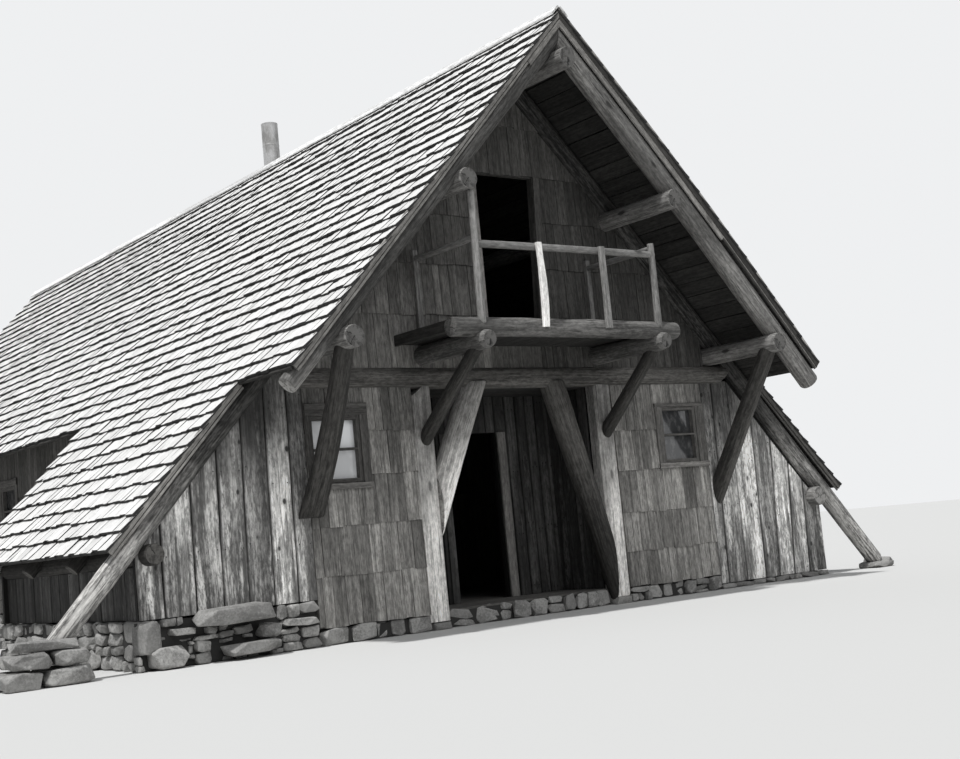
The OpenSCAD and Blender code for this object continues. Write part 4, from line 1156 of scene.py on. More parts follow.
class CABIN_OT_frame_logs(bpy.types.Operator):
    """Peeled logs of the frame: rafters, ridge log, purlins, plates, ties and braces"""
    bl_idname = "cabin.frame_logs"
    bl_label = "Frame logs"

    def execute(self, context):
        canopy_y = RAKE_BACK + 0.005 + RAFTER_R
        for side, name in SIDE_NAMES.items():
            plumb = ((0, 0, 0), (side, 0, 0))
            short, long = Shape(61 + side), Shape(64 + side)
            for end in ENDS:
                y = at_y(end, canopy_y)
                most = BOW_LOG if (side, end) == (RIGHT, FRONT) else 0.0
                reach, up, foot_r = (0.115, 0.026, 0.1) if side == LEFT else (0.13, 0.0, 0.127)
                a, b = slope_point(side, -0.1, RAFTER_D, y), slope_point(side, EAVE_S + reach, RAFTER_D - up, y)
                log(short, a, b, 0.124, foot_r, start=plumb, tone=0.12 if side == LEFT else 0.8,
                    bend=lambda t: (0.0, bow(EAVE_S * t, most)))
                for depth in (FRAME_Y, FRAME_BACK_Y):
                    y = at_y(end, depth)
                    ground = ((0, 0, (PIER_H if side == LEFT else PAD_H) - 0.012), (0, 0, -1))
                    deeper, thin = (0.036, 0.098) if side == LEFT else (-0.03, 0.112)
                    if (side, end, depth) == (RIGHT, FRONT, FRAME_Y):
                        # Cut square, with its lower edge on the stone
                        ground = ((6.172, 0, 0.094), (RUN, 0, -RISE))
                    a = slope_point(side, -0.1, RAFTER_D + 0.004, y)
                    b = slope_point(side, (RIDGE_Z - 0.2) / RISE, RAFTER_D + 0.004 + deeper, y)
                    log(long, a, b, 0.124, thin, start=plumb, stop=ground, sides=24, tone=0.34 if side == LEFT else 0.45)
            short.piece(f"canopy_logs_{name}", "eave_log" if side == LEFT else "peeled_log", "peeled_logs",
                        f"canopy_rafters_{name}")
            long.peeled(f"frame_logs_{name}", "frame_log")
        shape = Shape(71)
        log(shape, (0.0, -HALF_L - 0.058, RIDGE_LOG_Z), (0.0, HALF_L + 0.058, RIDGE_LOG_Z), 0.12, 0.118, crook=0.01, tone=0.6)
        shape.peeled("ridge_log", "peeled_log")
        for node, x, z in (("upper_purlins", UPPER_X, UPPER_Z), ("lower_purlins", LOWER_X, LOWER_Z)):
            shape = Shape(73 + int(x))
            for side in SIDES:
                log(shape, (side * x, -HALF_L + 0.002, z), (side * x, HALF_L - 0.002, z), PURLIN_R - 0.003,
                    PURLIN_R - 0.006, crook=0.012, tone=0.7)
            shape.peeled(node, "peeled_log")
        plates, tails = {LEFT: Shape(77), RIGHT: Shape(76)}, Shape(78)
        for side in SIDES:
            for end in ENDS:
                x, low, thick = (PLATE_X - 0.03, 0.015, PLATE_R - 0.022) if side == LEFT else (PLATE_X, 0.006,
                        PLATE_R + 0.004)
                a, b = at_y(end, WING_Y + 0.008), at_y(end, WING_END_Y - 0.035)
                log(plates[side], (side * x, a, PLATE_Z + low), (side * PLATE_X, b, PLATE_Z + low), thick, PLATE_R - 0.01,
                    tone=0.0 if side == LEFT else 0.3)
                for depth in (2.56, 3.83):
                    y = at_y(end, depth)
                    log(tails, slope_point(side, 7.2, 0.262, y), slope_point(side, 7.85, 0.284, y), 0.088, 0.078, sides=16,
                        tone=0.1)
        # The left plates and the rafter tails are painted in shade
        plates[LEFT].piece("plates_left", "plate_log", "peeled_logs", "wall_plates")
        plates[RIGHT].piece("plates_right", "peeled_log", "peeled_logs", "wall_plates")
        tails.piece("rafter_tails", "plate_log", "peeled_logs", "wall_plates")
        shape = Shape(79)
        for end in ENDS:
            for depth in (WALL_Y + WALL_T / 2, FRAME_BACK_Y):
                y = at_y(end, depth)
                # The front tie ends behind the planks of the left wing
                left = 3.3 if (end, depth) == (FRONT, WALL_Y + WALL_T / 2) else TIE_HALF
                cope = ((-TIE_HALF + 0.12, y, TIE_Z), (-RISE, 0, -RUN)) if left == TIE_HALF else None
                log(shape, (-left, y, TIE_Z), (TIE_HALF, y, TIE_Z), TIE_R - 0.004, TIE_R - 0.002, tone=0.45, start=cope,
                    stop=((TIE_HALF - 0.12, y, TIE_Z), (RISE, 0, -RUN)))
        shape.piece("ties_peeled", "tie_log", "peeled_logs", "tie_logs")
        shape = Shape(83)
        for side in SIDES:
            for end in ENDS:
                head = (side * LOWER_X, at_y(end, 0.19), LOWER_Z - 0.03)
                if (side, end) == (LEFT, FRONT):
                    # This one is shorter: its foot is sawn level, a hand above the others
                    log(shape, head, (side * (LOWER_X - 0.055), at_y(end, WALL_Y - 0.03), 1.33), 0.098, 0.136,
                        stop=((0, 0, 1.33), (0, 0, -1)), sides=20, tone=0.4, bend=(0.035, 0.0))
                    continue
                wall = ((0, at_y(end, WALL_Y + 0.02), 0), (0, -end, 0))
                log(shape, head, (side * (LOWER_X - 0.07), at_y(end, WALL_Y + 0.12), 1.13), 0.102, 0.112, stop=wall, sides=20,
                    tone=0.5)
        shape.peeled("knee_braces", "shade_log")
        return {"FINISHED"}


# Slabs of the left front footing: x0, x1, z0, z1 and how far they stand proud of it
SLABS = ((-4.6, -3.6, 0.345, 0.55, 0.2), (-5.11, -4.85, 0.13, 0.49, 0.06), (-4.3, -3.58, 0.04, 0.185, 0.21),
         (-3.56, -3.1, 0.235, 0.345, 0.06),
         (-5.02, -4.58, 0.0, 0.23, 0.12), (-4.78, -4.48, 0.3, 0.385, 0.06), (-3.84, -3.58, 0.17, 0.33, 0.13))
# Joints between the front planks at their feet, and what else planks() is told there. Two planks on the
# left run up past the tie log.
FRONT_JOINTS = {LEFT: (-5.04, -4.78, -4.44, -4.145, -3.865, -3.575, -3.295, -3.08),
                RIGHT: (2.94, 3.107, 3.455, 3.823, 4.109, 4.399, 4.721, 5.085)}
# The tones are the planks' own differences, and the right wing's planks are lighter overall as painted light
FRONT_PLANKS = {
    LEFT: dict(leans=(0.0, 0.0, 0.01, 0.015, 0.02, 0.018, 0.01, 0.0), tall={-3.865: 9.0, -3.575: 9.0},
               tones=(0.234, 0.34, 0.26, 0.275, 0.16, 0.76, 0.32)),
    RIGHT: dict(leans=(0.0, 0.02, 0.0, 0.02, 0.055, 0.08, 0.04, 0.0), short=0.065,
                tones=(0.52, 0.27, 0.985, 0.255, 0.93, 0.8, 0.16)),
}


def uneven_joints(pick, low, high, mean=0.3):
    """Places of the joints between boards of mixed widths."""
    count = max(1, round((high - low) / mean))
    widths = [pick.uniform(0.75, 1.25) for _ in range(count)]
    scale = (high - low) / sum(widths)
    places = [low]
    for w in widths:
        places.append(places[-1] + w * scale)
    return places


def planks(shape, joints, place, low, cap0, gap, thick=0.034, core=0.094, roof=SEAT_D, tall={}, tones=(), leans=(),
           short=0.0):
    """Upright planks on a wall face, with their tops scribed to the slope and to a level cap.
    tall gives other caps by the place of a plank's first edge, tones how light each plank is, leans how
    far each joint leans a metre up, and short how far the planks stop below the slope."""
    pick = shape.random
    origin, across, out = Vector(place[0]), Vector(place[1]), Vector(place[2])
    for k, (x0, x1) in enumerate(zip(joints, joints[1:])):
        open_joint = gap * pick.uniform(0.5, 1.6)
        middle = (x0 + x1) / 2
        half = (x1 - x0 - open_joint) / 2
        cap = tall.get(x0, cap0)

        def top(p):
            return cap if roof is None else min(cap, slope_z(middle + p, roof + short))

        upright_board(shape, half, low, top, origin + across * middle, across, out, thick, pick.uniform(-0.005, 0.001),
                      tones[k] if tones else pick.random() * 0.7, leans[k:k + 2] or (0, 0))
        # The backing behind the open joints is painted dark as shade
        backing = clip([(x0 - middle, low), (x1 - middle, low), (x1 - middle, 9), (x0 - middle, 9)], 0, 1, cap)
        if roof is not None:
            for a, b, c in gable_region(roof):
                backing = clip(backing, a, b, c - a * middle)
        if backing:
            prism(shape, backing, origin + across * middle, across, (0, 0, 1), out, -thick - 0.012, -core, 0.2, 0.5)


def upright_board(shape, half, low, top, origin, across, out, thick, proud, tone, leans):
    """A plank between -half and half, from low up to top(x): its face is cut into strips that wave a
    little. leans is how far its two edges lean a metre up."""
    pick = shape.random
    seed = pick.uniform(-90, 90)
    rows = max(2, int((top(0) - low) / 0.22))
    cup = pick.uniform(-0.004, 0.004)
    xs = [-half, 0.006 - half, -half / 2, 0, half / 2, half - 0.006, half]
    count = len(xs)
    verts, grain, edges = [], [], []
    for layer in (0, 1):
        for r in range(rows + 1):
            t = r / rows
            for k, x in enumerate(xs):
                u = x / half
                lean = (leans[0] * (1 - u) + leans[1] * (1 + u)) / 2
                high = top(x)
                high = top(x + lean * (high - low))
                z = low + (high - low) * t
                stray = 0 if abs(x) < half - 0.01 else noise.noise((seed + (5 if x > 0 else 0), z * 1.6, 0)) * 0.007
                stray += lean * (z - low)
                face = proud + cup * (1 - u * u) + noise.noise((seed + x * 3, z * 1.4, 3)) * 0.004
                if k in (0, count - 1):
                    face -= 0.006
                depth = face if layer == 0 else -thick
                verts.append(origin + Vector(across) * (x + stray) + Vector((0, 0, z)) + Vector(out) * depth)
                grain.append((x + stray, z, depth))
                edges.append(half - abs(x))
    faces = []
    total = (rows + 1) * count
    for r in range(rows):
        for i in range(r * count, r * count + count - 1):
            j = total + i
            faces += [(i, i + 1, i + count + 1, i + count), (j + count, j + count + 1, j + 1, j)]
    for i in range(0, rows * count, count):
        j = i + count - 1
        faces += [(i, i + count, i + count + total, i + total), (j + total, j + count + total, j + count, j)]
    for i in range(count - 1):
        j = rows * count + i
        faces += [(i + total, i + 1 + total, i + 1, i), (j, j + 1, j + 1 + total, j + total)]
    if Vector(across).cross(Vector((0, 0, 1))).dot(Vector(out)) < 0:
        faces = [f[::-1] for f in faces]
    shape.add(verts, faces, grain, tone, edge=edges)


class CABIN_OT_wing_walls(bpy.types.Operator):
    """Upright planks of the wings"""
    bl_idname = "cabin.wing_walls"
    bl_label = "Wing walls"

    def execute(self, context):
        gap = context.scene.cabin_walls.plank_gap
        front, back, sides = Shape(91), Shape(92), Shape(93)
        for end in ENDS:
            place = ((0, at_y(end, WALL_Y), 0), (1, 0, 0), (0, end, 0))
            joints = FRONT_JOINTS if end == FRONT else {
                LEFT: uneven_joints(front.random, -PLANKS_X, -PLANK_LEFT_X),
                RIGHT: uneven_joints(front.random, PLANK_RIGHT_X, PLANKS_X)}
            for side, foot in FEET.items():
                planks(front, joints[side], place, foot + 0.004, WALL_CAP, gap,
                       **(FRONT_PLANKS[side] if end == FRONT else {}))
            place = ((0, at_y(end, BACK_WALL_Y + WALL_T), 0), (1, 0, 0), (0, -end, 0))
            ys = sorted((at_y(end, WALL_Y + 0.036), at_y(end, BACK_WALL_Y + WALL_T - 0.036)))
            for side, foot in FEET.items():
                edges = sorted((side * EAVE_WALL_X, side * PLANKS_X))
                planks(back, uneven_joints(back.random, *edges), place, foot + 0.004, WALL_CAP, gap)
                planks(sides, uneven_joints(sides.random, *ys), ((side * SIDE_X, 0, 0), (0, 1, 0), (side, 0, 0)),
                       foot + 0.004, PLATE_Z - PLATE_R + 0.03, gap, roof=None)
        front.piece("wing_front_planks", "wall_plank", "wall_planks", "wing_front_walls")
        back.piece("wing_back_planks", "wall_plank", "wall_planks", "wing_back_walls")
        # The wing sides under the eaves are painted in shade
        sides.piece("wing_side_planks", "dark_board", "wall_planks", "wing_side_walls")
        return {"FINISHED"}


class CABIN_OT_shake_walls(bpy.types.Operator):
    """Courses of long wall shakes on the end walls and under the upper eaves"""
    bl_idname = "cabin.shake_walls"
    bl_label = "Shake walls"

    def execute(self, context):
        butt = context.scene.cabin_walls.shake_butt
        left_window, right_window = window_hole(WINDOW_LEFT_X), window_hole(WINDOW_RIGHT_X)
        level_cap = [(0, 1, WALL_CAP)]

        def face(end):
            return ((0, at_y(end, WALL_Y + 0.012), 0), (1, 0, 0), (0, 0, 1), (0, end, 0))

        def cover(shape, spans, levels, region, holes, place):
            shake_wall(shape, spans, levels, region, holes, place, butt)
            whole = [(spans[0], levels[0]), (spans[1], levels[0]), (spans[1], 9), (spans[0], 9)]
            wall_core(shape, whole, region, holes, place, -0.014, -WALL_T + 0.014)

        low = FOOT_MID + 0.004
        gable = gable_region() + [(0, 1, RIDGE_LOG_Z)]
        base = TIE_Z + 0.095
        levels = [base, 3.52, 4.12, 4.7, 5.28, 5.86, 6.4]
        half = LOWER_X - PURLIN_R
        under_door = gable + [(0, 1, DOOR_TOP)]
        # The doorway's right side leans out
        lean = (DOOR_RIGHT_TOP - DOOR_RIGHT_LOW) / (DOOR_TOP - DECK_Z)
        beside = (-1, lean, -(DOOR_RIGHT_LOW - lean * DECK_Z))
        hole = window_hole(0.0, *REAR_WINDOW)
        # The low walls take the lit copy of the wall shakes, and the right gable the copy in painted deep shade
        for node, seed, spans, rows, region, holes, end, finish in (
                ("front_wall_left", 101, (-PLANK_LEFT_X, POST_LEFT), [low, 0.7, 1.22, 1.75, 2.22, WALL_CAP],
                 level_cap, [left_window], FRONT, "low_shake"),
                ("front_wall_right", 102, (POST_RIGHT, PLANK_RIGHT_X), [low, 0.61, 1.09, 1.61, 2.12, WALL_CAP],
                 level_cap, [right_window], FRONT, "low_shake"),
                ("rear_wall", 103, (-PLANK_LEFT_X, PLANK_RIGHT_X), [low, 0.65, 1.15, 1.66, 2.17, WALL_CAP],
                 level_cap, [left_window, right_window], REAR, "low_shake"),
                ("gable_wall_left", 104, (-half, DOOR_LEFT), levels, under_door, [], FRONT, "gable_shake"),
                ("gable_wall_right", 105, (DOOR_RIGHT_LOW, half), levels, under_door + [beside], [], FRONT, "deep_shake"),
                ("gable_wall_middle", 106, (-half, half), [DOOR_TOP, 5.86, 6.4], gable, [], FRONT, "wall_shake"),
                ("rear_gable_wall", 107, (-half, half), levels, gable, [hole], REAR, "wall_shake")):
            shape = Shape(seed)
            cover(shape, spans, rows, region, holes, face(end))
            if node == "gable_wall_middle":
                # The boarding between the tie log and the deck, under the doorway
                sill = [(DOOR_LEFT, base), (DOOR_RIGHT_LOW, base), (DOOR_RIGHT_LOW, DECK_Z), (DOOR_LEFT, DECK_Z)]
                wall_core(shape, sill, [], [], face(end), 0.006, -WALL_T + 0.014)
            shape.piece(f"{node}_shakes", finish, "wall_shakes", node)
        eaves = Shape(108)
        y0 = at_y(FRONT, BACK_WALL_Y)
        top_z = LOWER_Z - PURLIN_R + 0.014
        holes = [window_hole(at_y(FRONT, y)) for y in EAVE_WINDOW_Y]
        for side, foot in FEET.items():
            place = ((side * (EAVE_WALL_X - 0.012), 0, 0), (0, 1, 0), (0, 0, 1), (side, 0, 0))
            cover(eaves, (y0, -y0), [foot + 0.004, 0.7, 1.2, 1.7, 2.2, top_z], [(0, 1, top_z)], holes, place)
        eaves.piece("eave_wall_shakes", "wall_shake", "wall_shakes", "eave_walls")
        return {"FINISHED"}


class CABIN_OT_entry(bpy.types.Operator):
    """Recessed entry: dark boards, hewn posts, inclined struts and the lintel"""
    bl_idname = "cabin.entry"
    bl_label = "Entry"

    def execute(self, context):
        recess_left, recess_right = ENTRY_X - ENTRY_HALF + POST_W / 2, ENTRY_X + ENTRY_HALF - POST_W / 2
        door_left, door_right = ENTRY_X - DOORWAY_W / 2, ENTRY_X + DOORWAY_W / 2
        low, high = FLOOR_Z + 0.003, CEILING_Z - 0.003
        thin = (0.028, 0.096, None)
        back, sides, head = Shape(111), Shape(112), Shape(113)
        place = ((0, at_y(FRONT, BACK_Y), 0), (1, 0, 0), (0, -1, 0))
        for x0, x1 in ((recess_left - WALL_T, door_left), (door_right, recess_right + WALL_T)):
            planks(back, uneven_joints(back.random, x0, x1, 0.17), place, low, high, 0.012, *thin)
        planks(head, uneven_joints(head.random, door_left, door_right, 0.19), place, FLOOR_Z + DOORWAY_H, high, 0.008, *thin)
        y0, y1 = at_y(FRONT, POST_BACK_Y), at_y(FRONT, BACK_Y)
        for x, out in ((recess_left, 1), (recess_right, -1)):
            place = ((x, 0, 0), (0, 1, 0), (out, 0, 0))
            planks(sides, uneven_joints(sides.random, y0, y1, 0.19), place, low, high, 0.01, *thin)
        # The recess boards are painted in shade
        for shape, title, node in ((back, "back", "entry_back_walls"), (sides, "side", "entry_side_walls"),
                                   (head, "head", "entry_door_head")):
            shape.piece(f"entry_{title}_boards", "dark_board", "dark_boards", node)
        posts = Shape(115)
        for side in SIDES:
            x = ENTRY_X + side * ENTRY_HALF
            y = at_y(FRONT, WALL_Y + 0.09)
            hewn_post(posts, (x, y, PAD_H), (x, y, TIE_Z - 0.1), POST_W, 0.215, side == LEFT)
        posts.piece("entry_posts_hewn", "hewn_post", "hewn_posts", "entry_posts")
        y = at_y(FRONT, WALL_Y + 0.05)
        # Struts: x of the head, x, z and radius of the foot, and the looks; the right one is painted in shade
        for side, top_x, foot_x, foot_z, foot_r, finish, tone in ((LEFT, -0.722, -1.668, 0.82, 0.15, "hewn_post", 1.0),
                                                                  (RIGHT, 0.4, 1.09, 0.5, 0.136, "tie_log", 0.4)):
            post = ((ENTRY_X + side * (ENTRY_HALF - POST_W / 2 + 0.02), 0, 0), (side, 0, 0))
            struts = Shape(117 + side)
            log(struts, (top_x, y, TIE_Z + 0.04), (foot_x, y, foot_z), 0.152, foot_r,
                start=((0, 0, TIE_Z - 0.06), (0, 0, 1)), stop=post, sides=24, tone=tone)
            struts.piece("strut_" + SIDE_NAMES[side], finish, "peeled_logs", "entry_struts")
        lintel = Shape(119)
        y, z = at_y(FRONT, WALL_Y + 0.025), TIE_Z - TIE_R + 0.045
        log(lintel, (-0.8, y, z), (0.47, y, z), 0.06, sides=14)
        lintel.peeled("entry_lintel", "shade_log")
        return {"FINISHED"}


def hewn_post(shape, a, b, wide, deep, slant):
    """A post hewn to a rough square, with its corners knocked off. slant cuts its outer top corner."""
    seed = shape.random.uniform(-50, 50)
    length = (Vector(b) - Vector(a)).length

    def profile(t):
        ring = []
        w, d, c = wide / 2, deep / 2, 0.035
        outline = ((-w, -d + c), (-w, d - c), (-w + c, d), (0, d + 0.004), (w - c, d), (w, d - c), (w, -d + c),
                   (w - c, -d), (0, -d - 0.003), (-w + c, -d))
        for j, (x, y) in enumerate(outline):
            k = 1 + 0.03 * noise.noise((seed + j, t * length * 1.5, 0)) - 0.012
            ring.append((x * k, y * k))
        return ring

    top = ((a[0] - wide / 2, a[1], b[2] - 0.12), (-0.75, 0, 1.0)) if slant else None
    sweep(shape, a, b, profile, 12, up=(0, -1, 0), stop=top, tone=0.45, shrink=0.0 if slant else 0.03)


class CABIN_OT_balcony(bpy.types.Operator):
    """Balcony: beam, joists, deck boards, posts, rails, balusters and braces"""
    bl_idname = "cabin.balcony"
    bl_label = "Balcony"

    def execute(self, context):
        y_beam = at_y(FRONT, BEAM_Y)
        beam = Shape(121)
        x0, x1 = BEAM_X
        log(beam, (x0, y_beam, BEAM_Z), (x1, y_beam, BEAM_Z), BEAM_R - 0.004, BEAM_R - 0.007, tone=0.42)
        beam.peeled("balcony_beam", "peeled_log")
        joists = Shape(122)
        for side in SIDES:
            x = ENTRY_X + side * BALCONY_HALF
            # The axe-cut tips are thinner
            for y0, z0, y1, r0, r1, sides, tone in ((0.07, 0, 2.098, JOIST_R - 0.004, JOIST_R - 0.006, 22, 0.35),
                                                    (-0.008, -0.01, 0.12, 0.088, 0.112, 20, 0.6)):
                log(joists, (x, at_y(FRONT, y0), JOIST_Z + z0), (x, at_y(FRONT, y1), JOIST_Z), r0, r1, sides=sides, tone=tone)
        joists.peeled("balcony_joists", "peeled_log")
        deck = Shape(123)
        x = DECK_X[0]
        while x < DECK_X[1]:
            w = min(deck.random.uniform(0.14, 0.2), DECK_X[1] + 0.01 - x)
            tip = at_y(FRONT, BEAM_Y + 0.03 + deck.random.uniform(0, 0.02))
            board(deck, (x + w / 2, tip, DECK_Z), (x + w / 2, at_y(FRONT, WALL_Y), DECK_Z), w - 0.006, FLOOR_T - 0.002,
                  (0, 0, 1), rough=0.003)
            x += w
        # A plank on edge closes the left side
        x, z = DECK_X[0] - 0.03, DECK_Z + 0.006
        board(deck, (x, at_y(FRONT, BEAM_Y + 0.1), z), (x, at_y(FRONT, WALL_Y - 0.01), z), 0.12, 0.034, (-1, 0, 0))
        # The deck boards take the sheathing's painted shade
        deck.piece("deck_boards", "sheathing", "floor_boards", "balcony_deck")
        posts = Shape(124)
        y, wall = at_y(FRONT, RAIL_Y), at_y(FRONT, WALL_Y - 0.05)
        for side, top in ((LEFT, UPPER_Z - PURLIN_R), (RIGHT, RAIL_Z + 0.13)):
            x = ENTRY_X + side * BALCONY_HALF
            log(posts, (x - 0.015, y, BEAM_Z + 0.03), (x - 0.015, y - 0.01, top), 0.046, 0.039, sides=16)
            board(posts, (x, wall, DECK_Z), (x, wall, DECK_Z + 1.045), 0.068, 0.048, (0, -1, 0))
        posts.peeled("balcony_posts", "light_pole", "light_poles")
        rails = Shape(125)
        log(rails, (ENTRY_X - BALCONY_HALF - 0.03, y, RAIL_Z), (ENTRY_X + BALCONY_HALF + 0.02, y, RAIL_Z), RAIL_R,
            RAIL_R - 0.003, sides=16)
        for side in SIDES:
            x, z = ENTRY_X + side * BALCONY_HALF, RAIL_Z + 2 * RAIL_R - 0.01
            log(rails, (x, y, z), (x, wall, z), RAIL_R - 0.005, RAIL_R - 0.007, sides=16)
        rails.peeled("balcony_rails", "light_pole", "light_poles")
        face = at_y(FRONT, BEAM_Y - BEAM_R - 0.034)
        # The left baluster is pale as freshly peeled wood, with painted sunlight
        for x, name, material, sway in ((-0.655, "left", "bare_pole", 0.022), (0.285, "right", "light_pole", 0.0)):
            shape = Shape(126 + int(10 * x))
            board(shape, (x, face, BEAM_Z - 0.003), (x, face, RAIL_Z + 0.043), 0.08, 0.04, (0, -1, 0), rough=0.01, rings=9,
                  chamfer=0.014, bend=(sway, 0))
            shape.piece("baluster_" + name, material, "light_poles", "balusters")
        braces = Shape(127)
        for side in SIDES:
            foot = (ENTRY_X + side * (ENTRY_HALF - 0.005), at_y(FRONT, WALL_Y + 0.03), 2.09)
            head = (ENTRY_X + side * BALCONY_HALF, at_y(FRONT, 0.18), JOIST_Z - 0.02)
            log(braces, head, foot, 0.072, 0.082, stop=((0, at_y(FRONT, WALL_Y - 0.018), 0), (0, 1, 0)), sides=18, tone=0.25)
        braces.peeled("balcony_braces", "shade_log")
        return {"FINISHED"}


def window(shape, middle, across, out, low=WINDOW_LOW, top=WINDOW_TOP, sides=(0.1, 0.1), head=(0.012, 0.115), shade=0.35):
    """Casing boards and a sash with one bar, about a hole in a wall face. sides are the widths of the
    upright casings, head the span of the board over the hole, and shade how light the boards are."""
    middle, across, out, up = Vector(middle), Vector(across), Vector(out), Vector((0, 0, 1))
    sill, casing_t = 0.064, 0.024

    def bar(x0, z0, x1, z1, width, face, thick, tone=shade):
        a, b = (middle + across * x + up * z + out * face for x, z in ((x0, z0), (x1, z1)))
        board(shape, a, b, width, thick, out, rough=0.002, tone=tone)

    w = WINDOW_W / 2
    for side, wide in zip((-1, 1), sides):
        bar(side * (w + wide / 2 - 0.004), low - 0.015, side * (w + wide / 2 - 0.004), top + head[0], wide, casing_t,
            casing_t)
        bar(side * (w - 0.024), low, side * (w - 0.024), top, 0.046, 0.006, 0.062)
    z = top + sum(head) / 2
    bar(-w - sides[0] + 0.004, z, w + sides[1] - 0.004, z, head[1] - head[0], casing_t + 0.002, casing_t + 0.002)
    z = low - 0.008 - sill / 2
    bar(-w - sides[0] - 0.006, z, w + sides[1] + 0.006, z, sill, casing_t + 0.008, casing_t + 0.008, shade + 0.5)
    for z, width in ((top - 0.023, 0.046), (low + 0.02, 0.044), ((low + top) / 2, 0.026)):
        bar(-w + 0.004, z, w - 0.004, z, width, 0.004, 0.058)


class CABIN_OT_openings(bpy.types.Operator):
    """Window casings and sashes, their panes, and the door casings"""
    bl_idname = "cabin.openings"
    bl_label = "Windows and door casings"

    def execute(self, context):
        frames = Shape(131)
        for end in ENDS:
            for x, sides, head, shade in ((WINDOW_LEFT_X, (0.045, 0.1), (0.005, 0.135), 0.0),
                                          (WINDOW_RIGHT_X, (0.1, 0.15), (0.0, 0.045), 0.35)):
                window(frames, (x, at_y(end, WALL_Y), 0), (-end, 0, 0), (0, end, 0), WINDOW_LOW, WINDOW_TOP,
                       sides if end == FRONT else sides[::-1], head, shade)
        window(frames, (0, at_y(REAR, WALL_Y), 0), (-1, 0, 0), (0, 1, 0), *REAR_WINDOW)
        for side in SIDES:
            for y in EAVE_WINDOW_Y:
                window(frames, (side * EAVE_WALL_X, at_y(FRONT, y), 0), (0, side, 0), (side, 0, 0))
        frames.piece("window_boards", "trim_board", "window_wood", "window_frames")
        keep_solid("window_glass", "pane_glass")
        casings, inner = Shape(132), Shape(133)

        def casing(shape, depth, x_low, x_top, low, top, wide, tone=None):
            y = at_y(FRONT, depth - 0.024)
            board(shape, (x_low, y, low), (x_top, y, top), wide, 0.022, (0, -1, 0), tone=tone)

        span = (DECK_Z + 0.002, DOOR_TOP)
        casing(casings, WALL_Y, DOOR_LEFT - 0.055, DOOR_LEFT - 0.055, *span, 0.106)
        casing(casings, WALL_Y, DOOR_RIGHT_LOW + 0.048, DOOR_RIGHT_TOP + 0.053, *span, 0.096, 0.0)
        span = (FLOOR_Z + 0.002, FLOOR_Z + DOORWAY_H)
        x = ENTRY_X + DOORWAY_W / 2 + 0.066
        casing(casings, BACK_Y, x, x, *span, 0.124, 0.6)
        casings.piece("door_boards", "trim_board", "window_wood", "door_casings")
        # The left door board is painted in shade
        x = ENTRY_X - DOORWAY_W / 2 - 0.056
        casing(inner, BACK_Y, x, x, *span, 0.104, 0.2)
        inner.piece("door_board_left", "dark_board", "window_wood", "door_casings")
        return {"FINISHED"}


class CABIN_OT_floors(bpy.types.Operator):
    """Materials of the floors and the entry ceiling, whose solids stay"""
    bl_idname = "cabin.floors"
    bl_label = "Floors"

    def execute(self, context):
        # The entry ceiling is painted in shade
        for node in ("wing_floors", "middle_floor", "upper_floor", "entry_ceiling"):
            keep_solid(node, "recess_boards" if node == "entry_ceiling" else "room_boards")
        return {"FINISHED"}


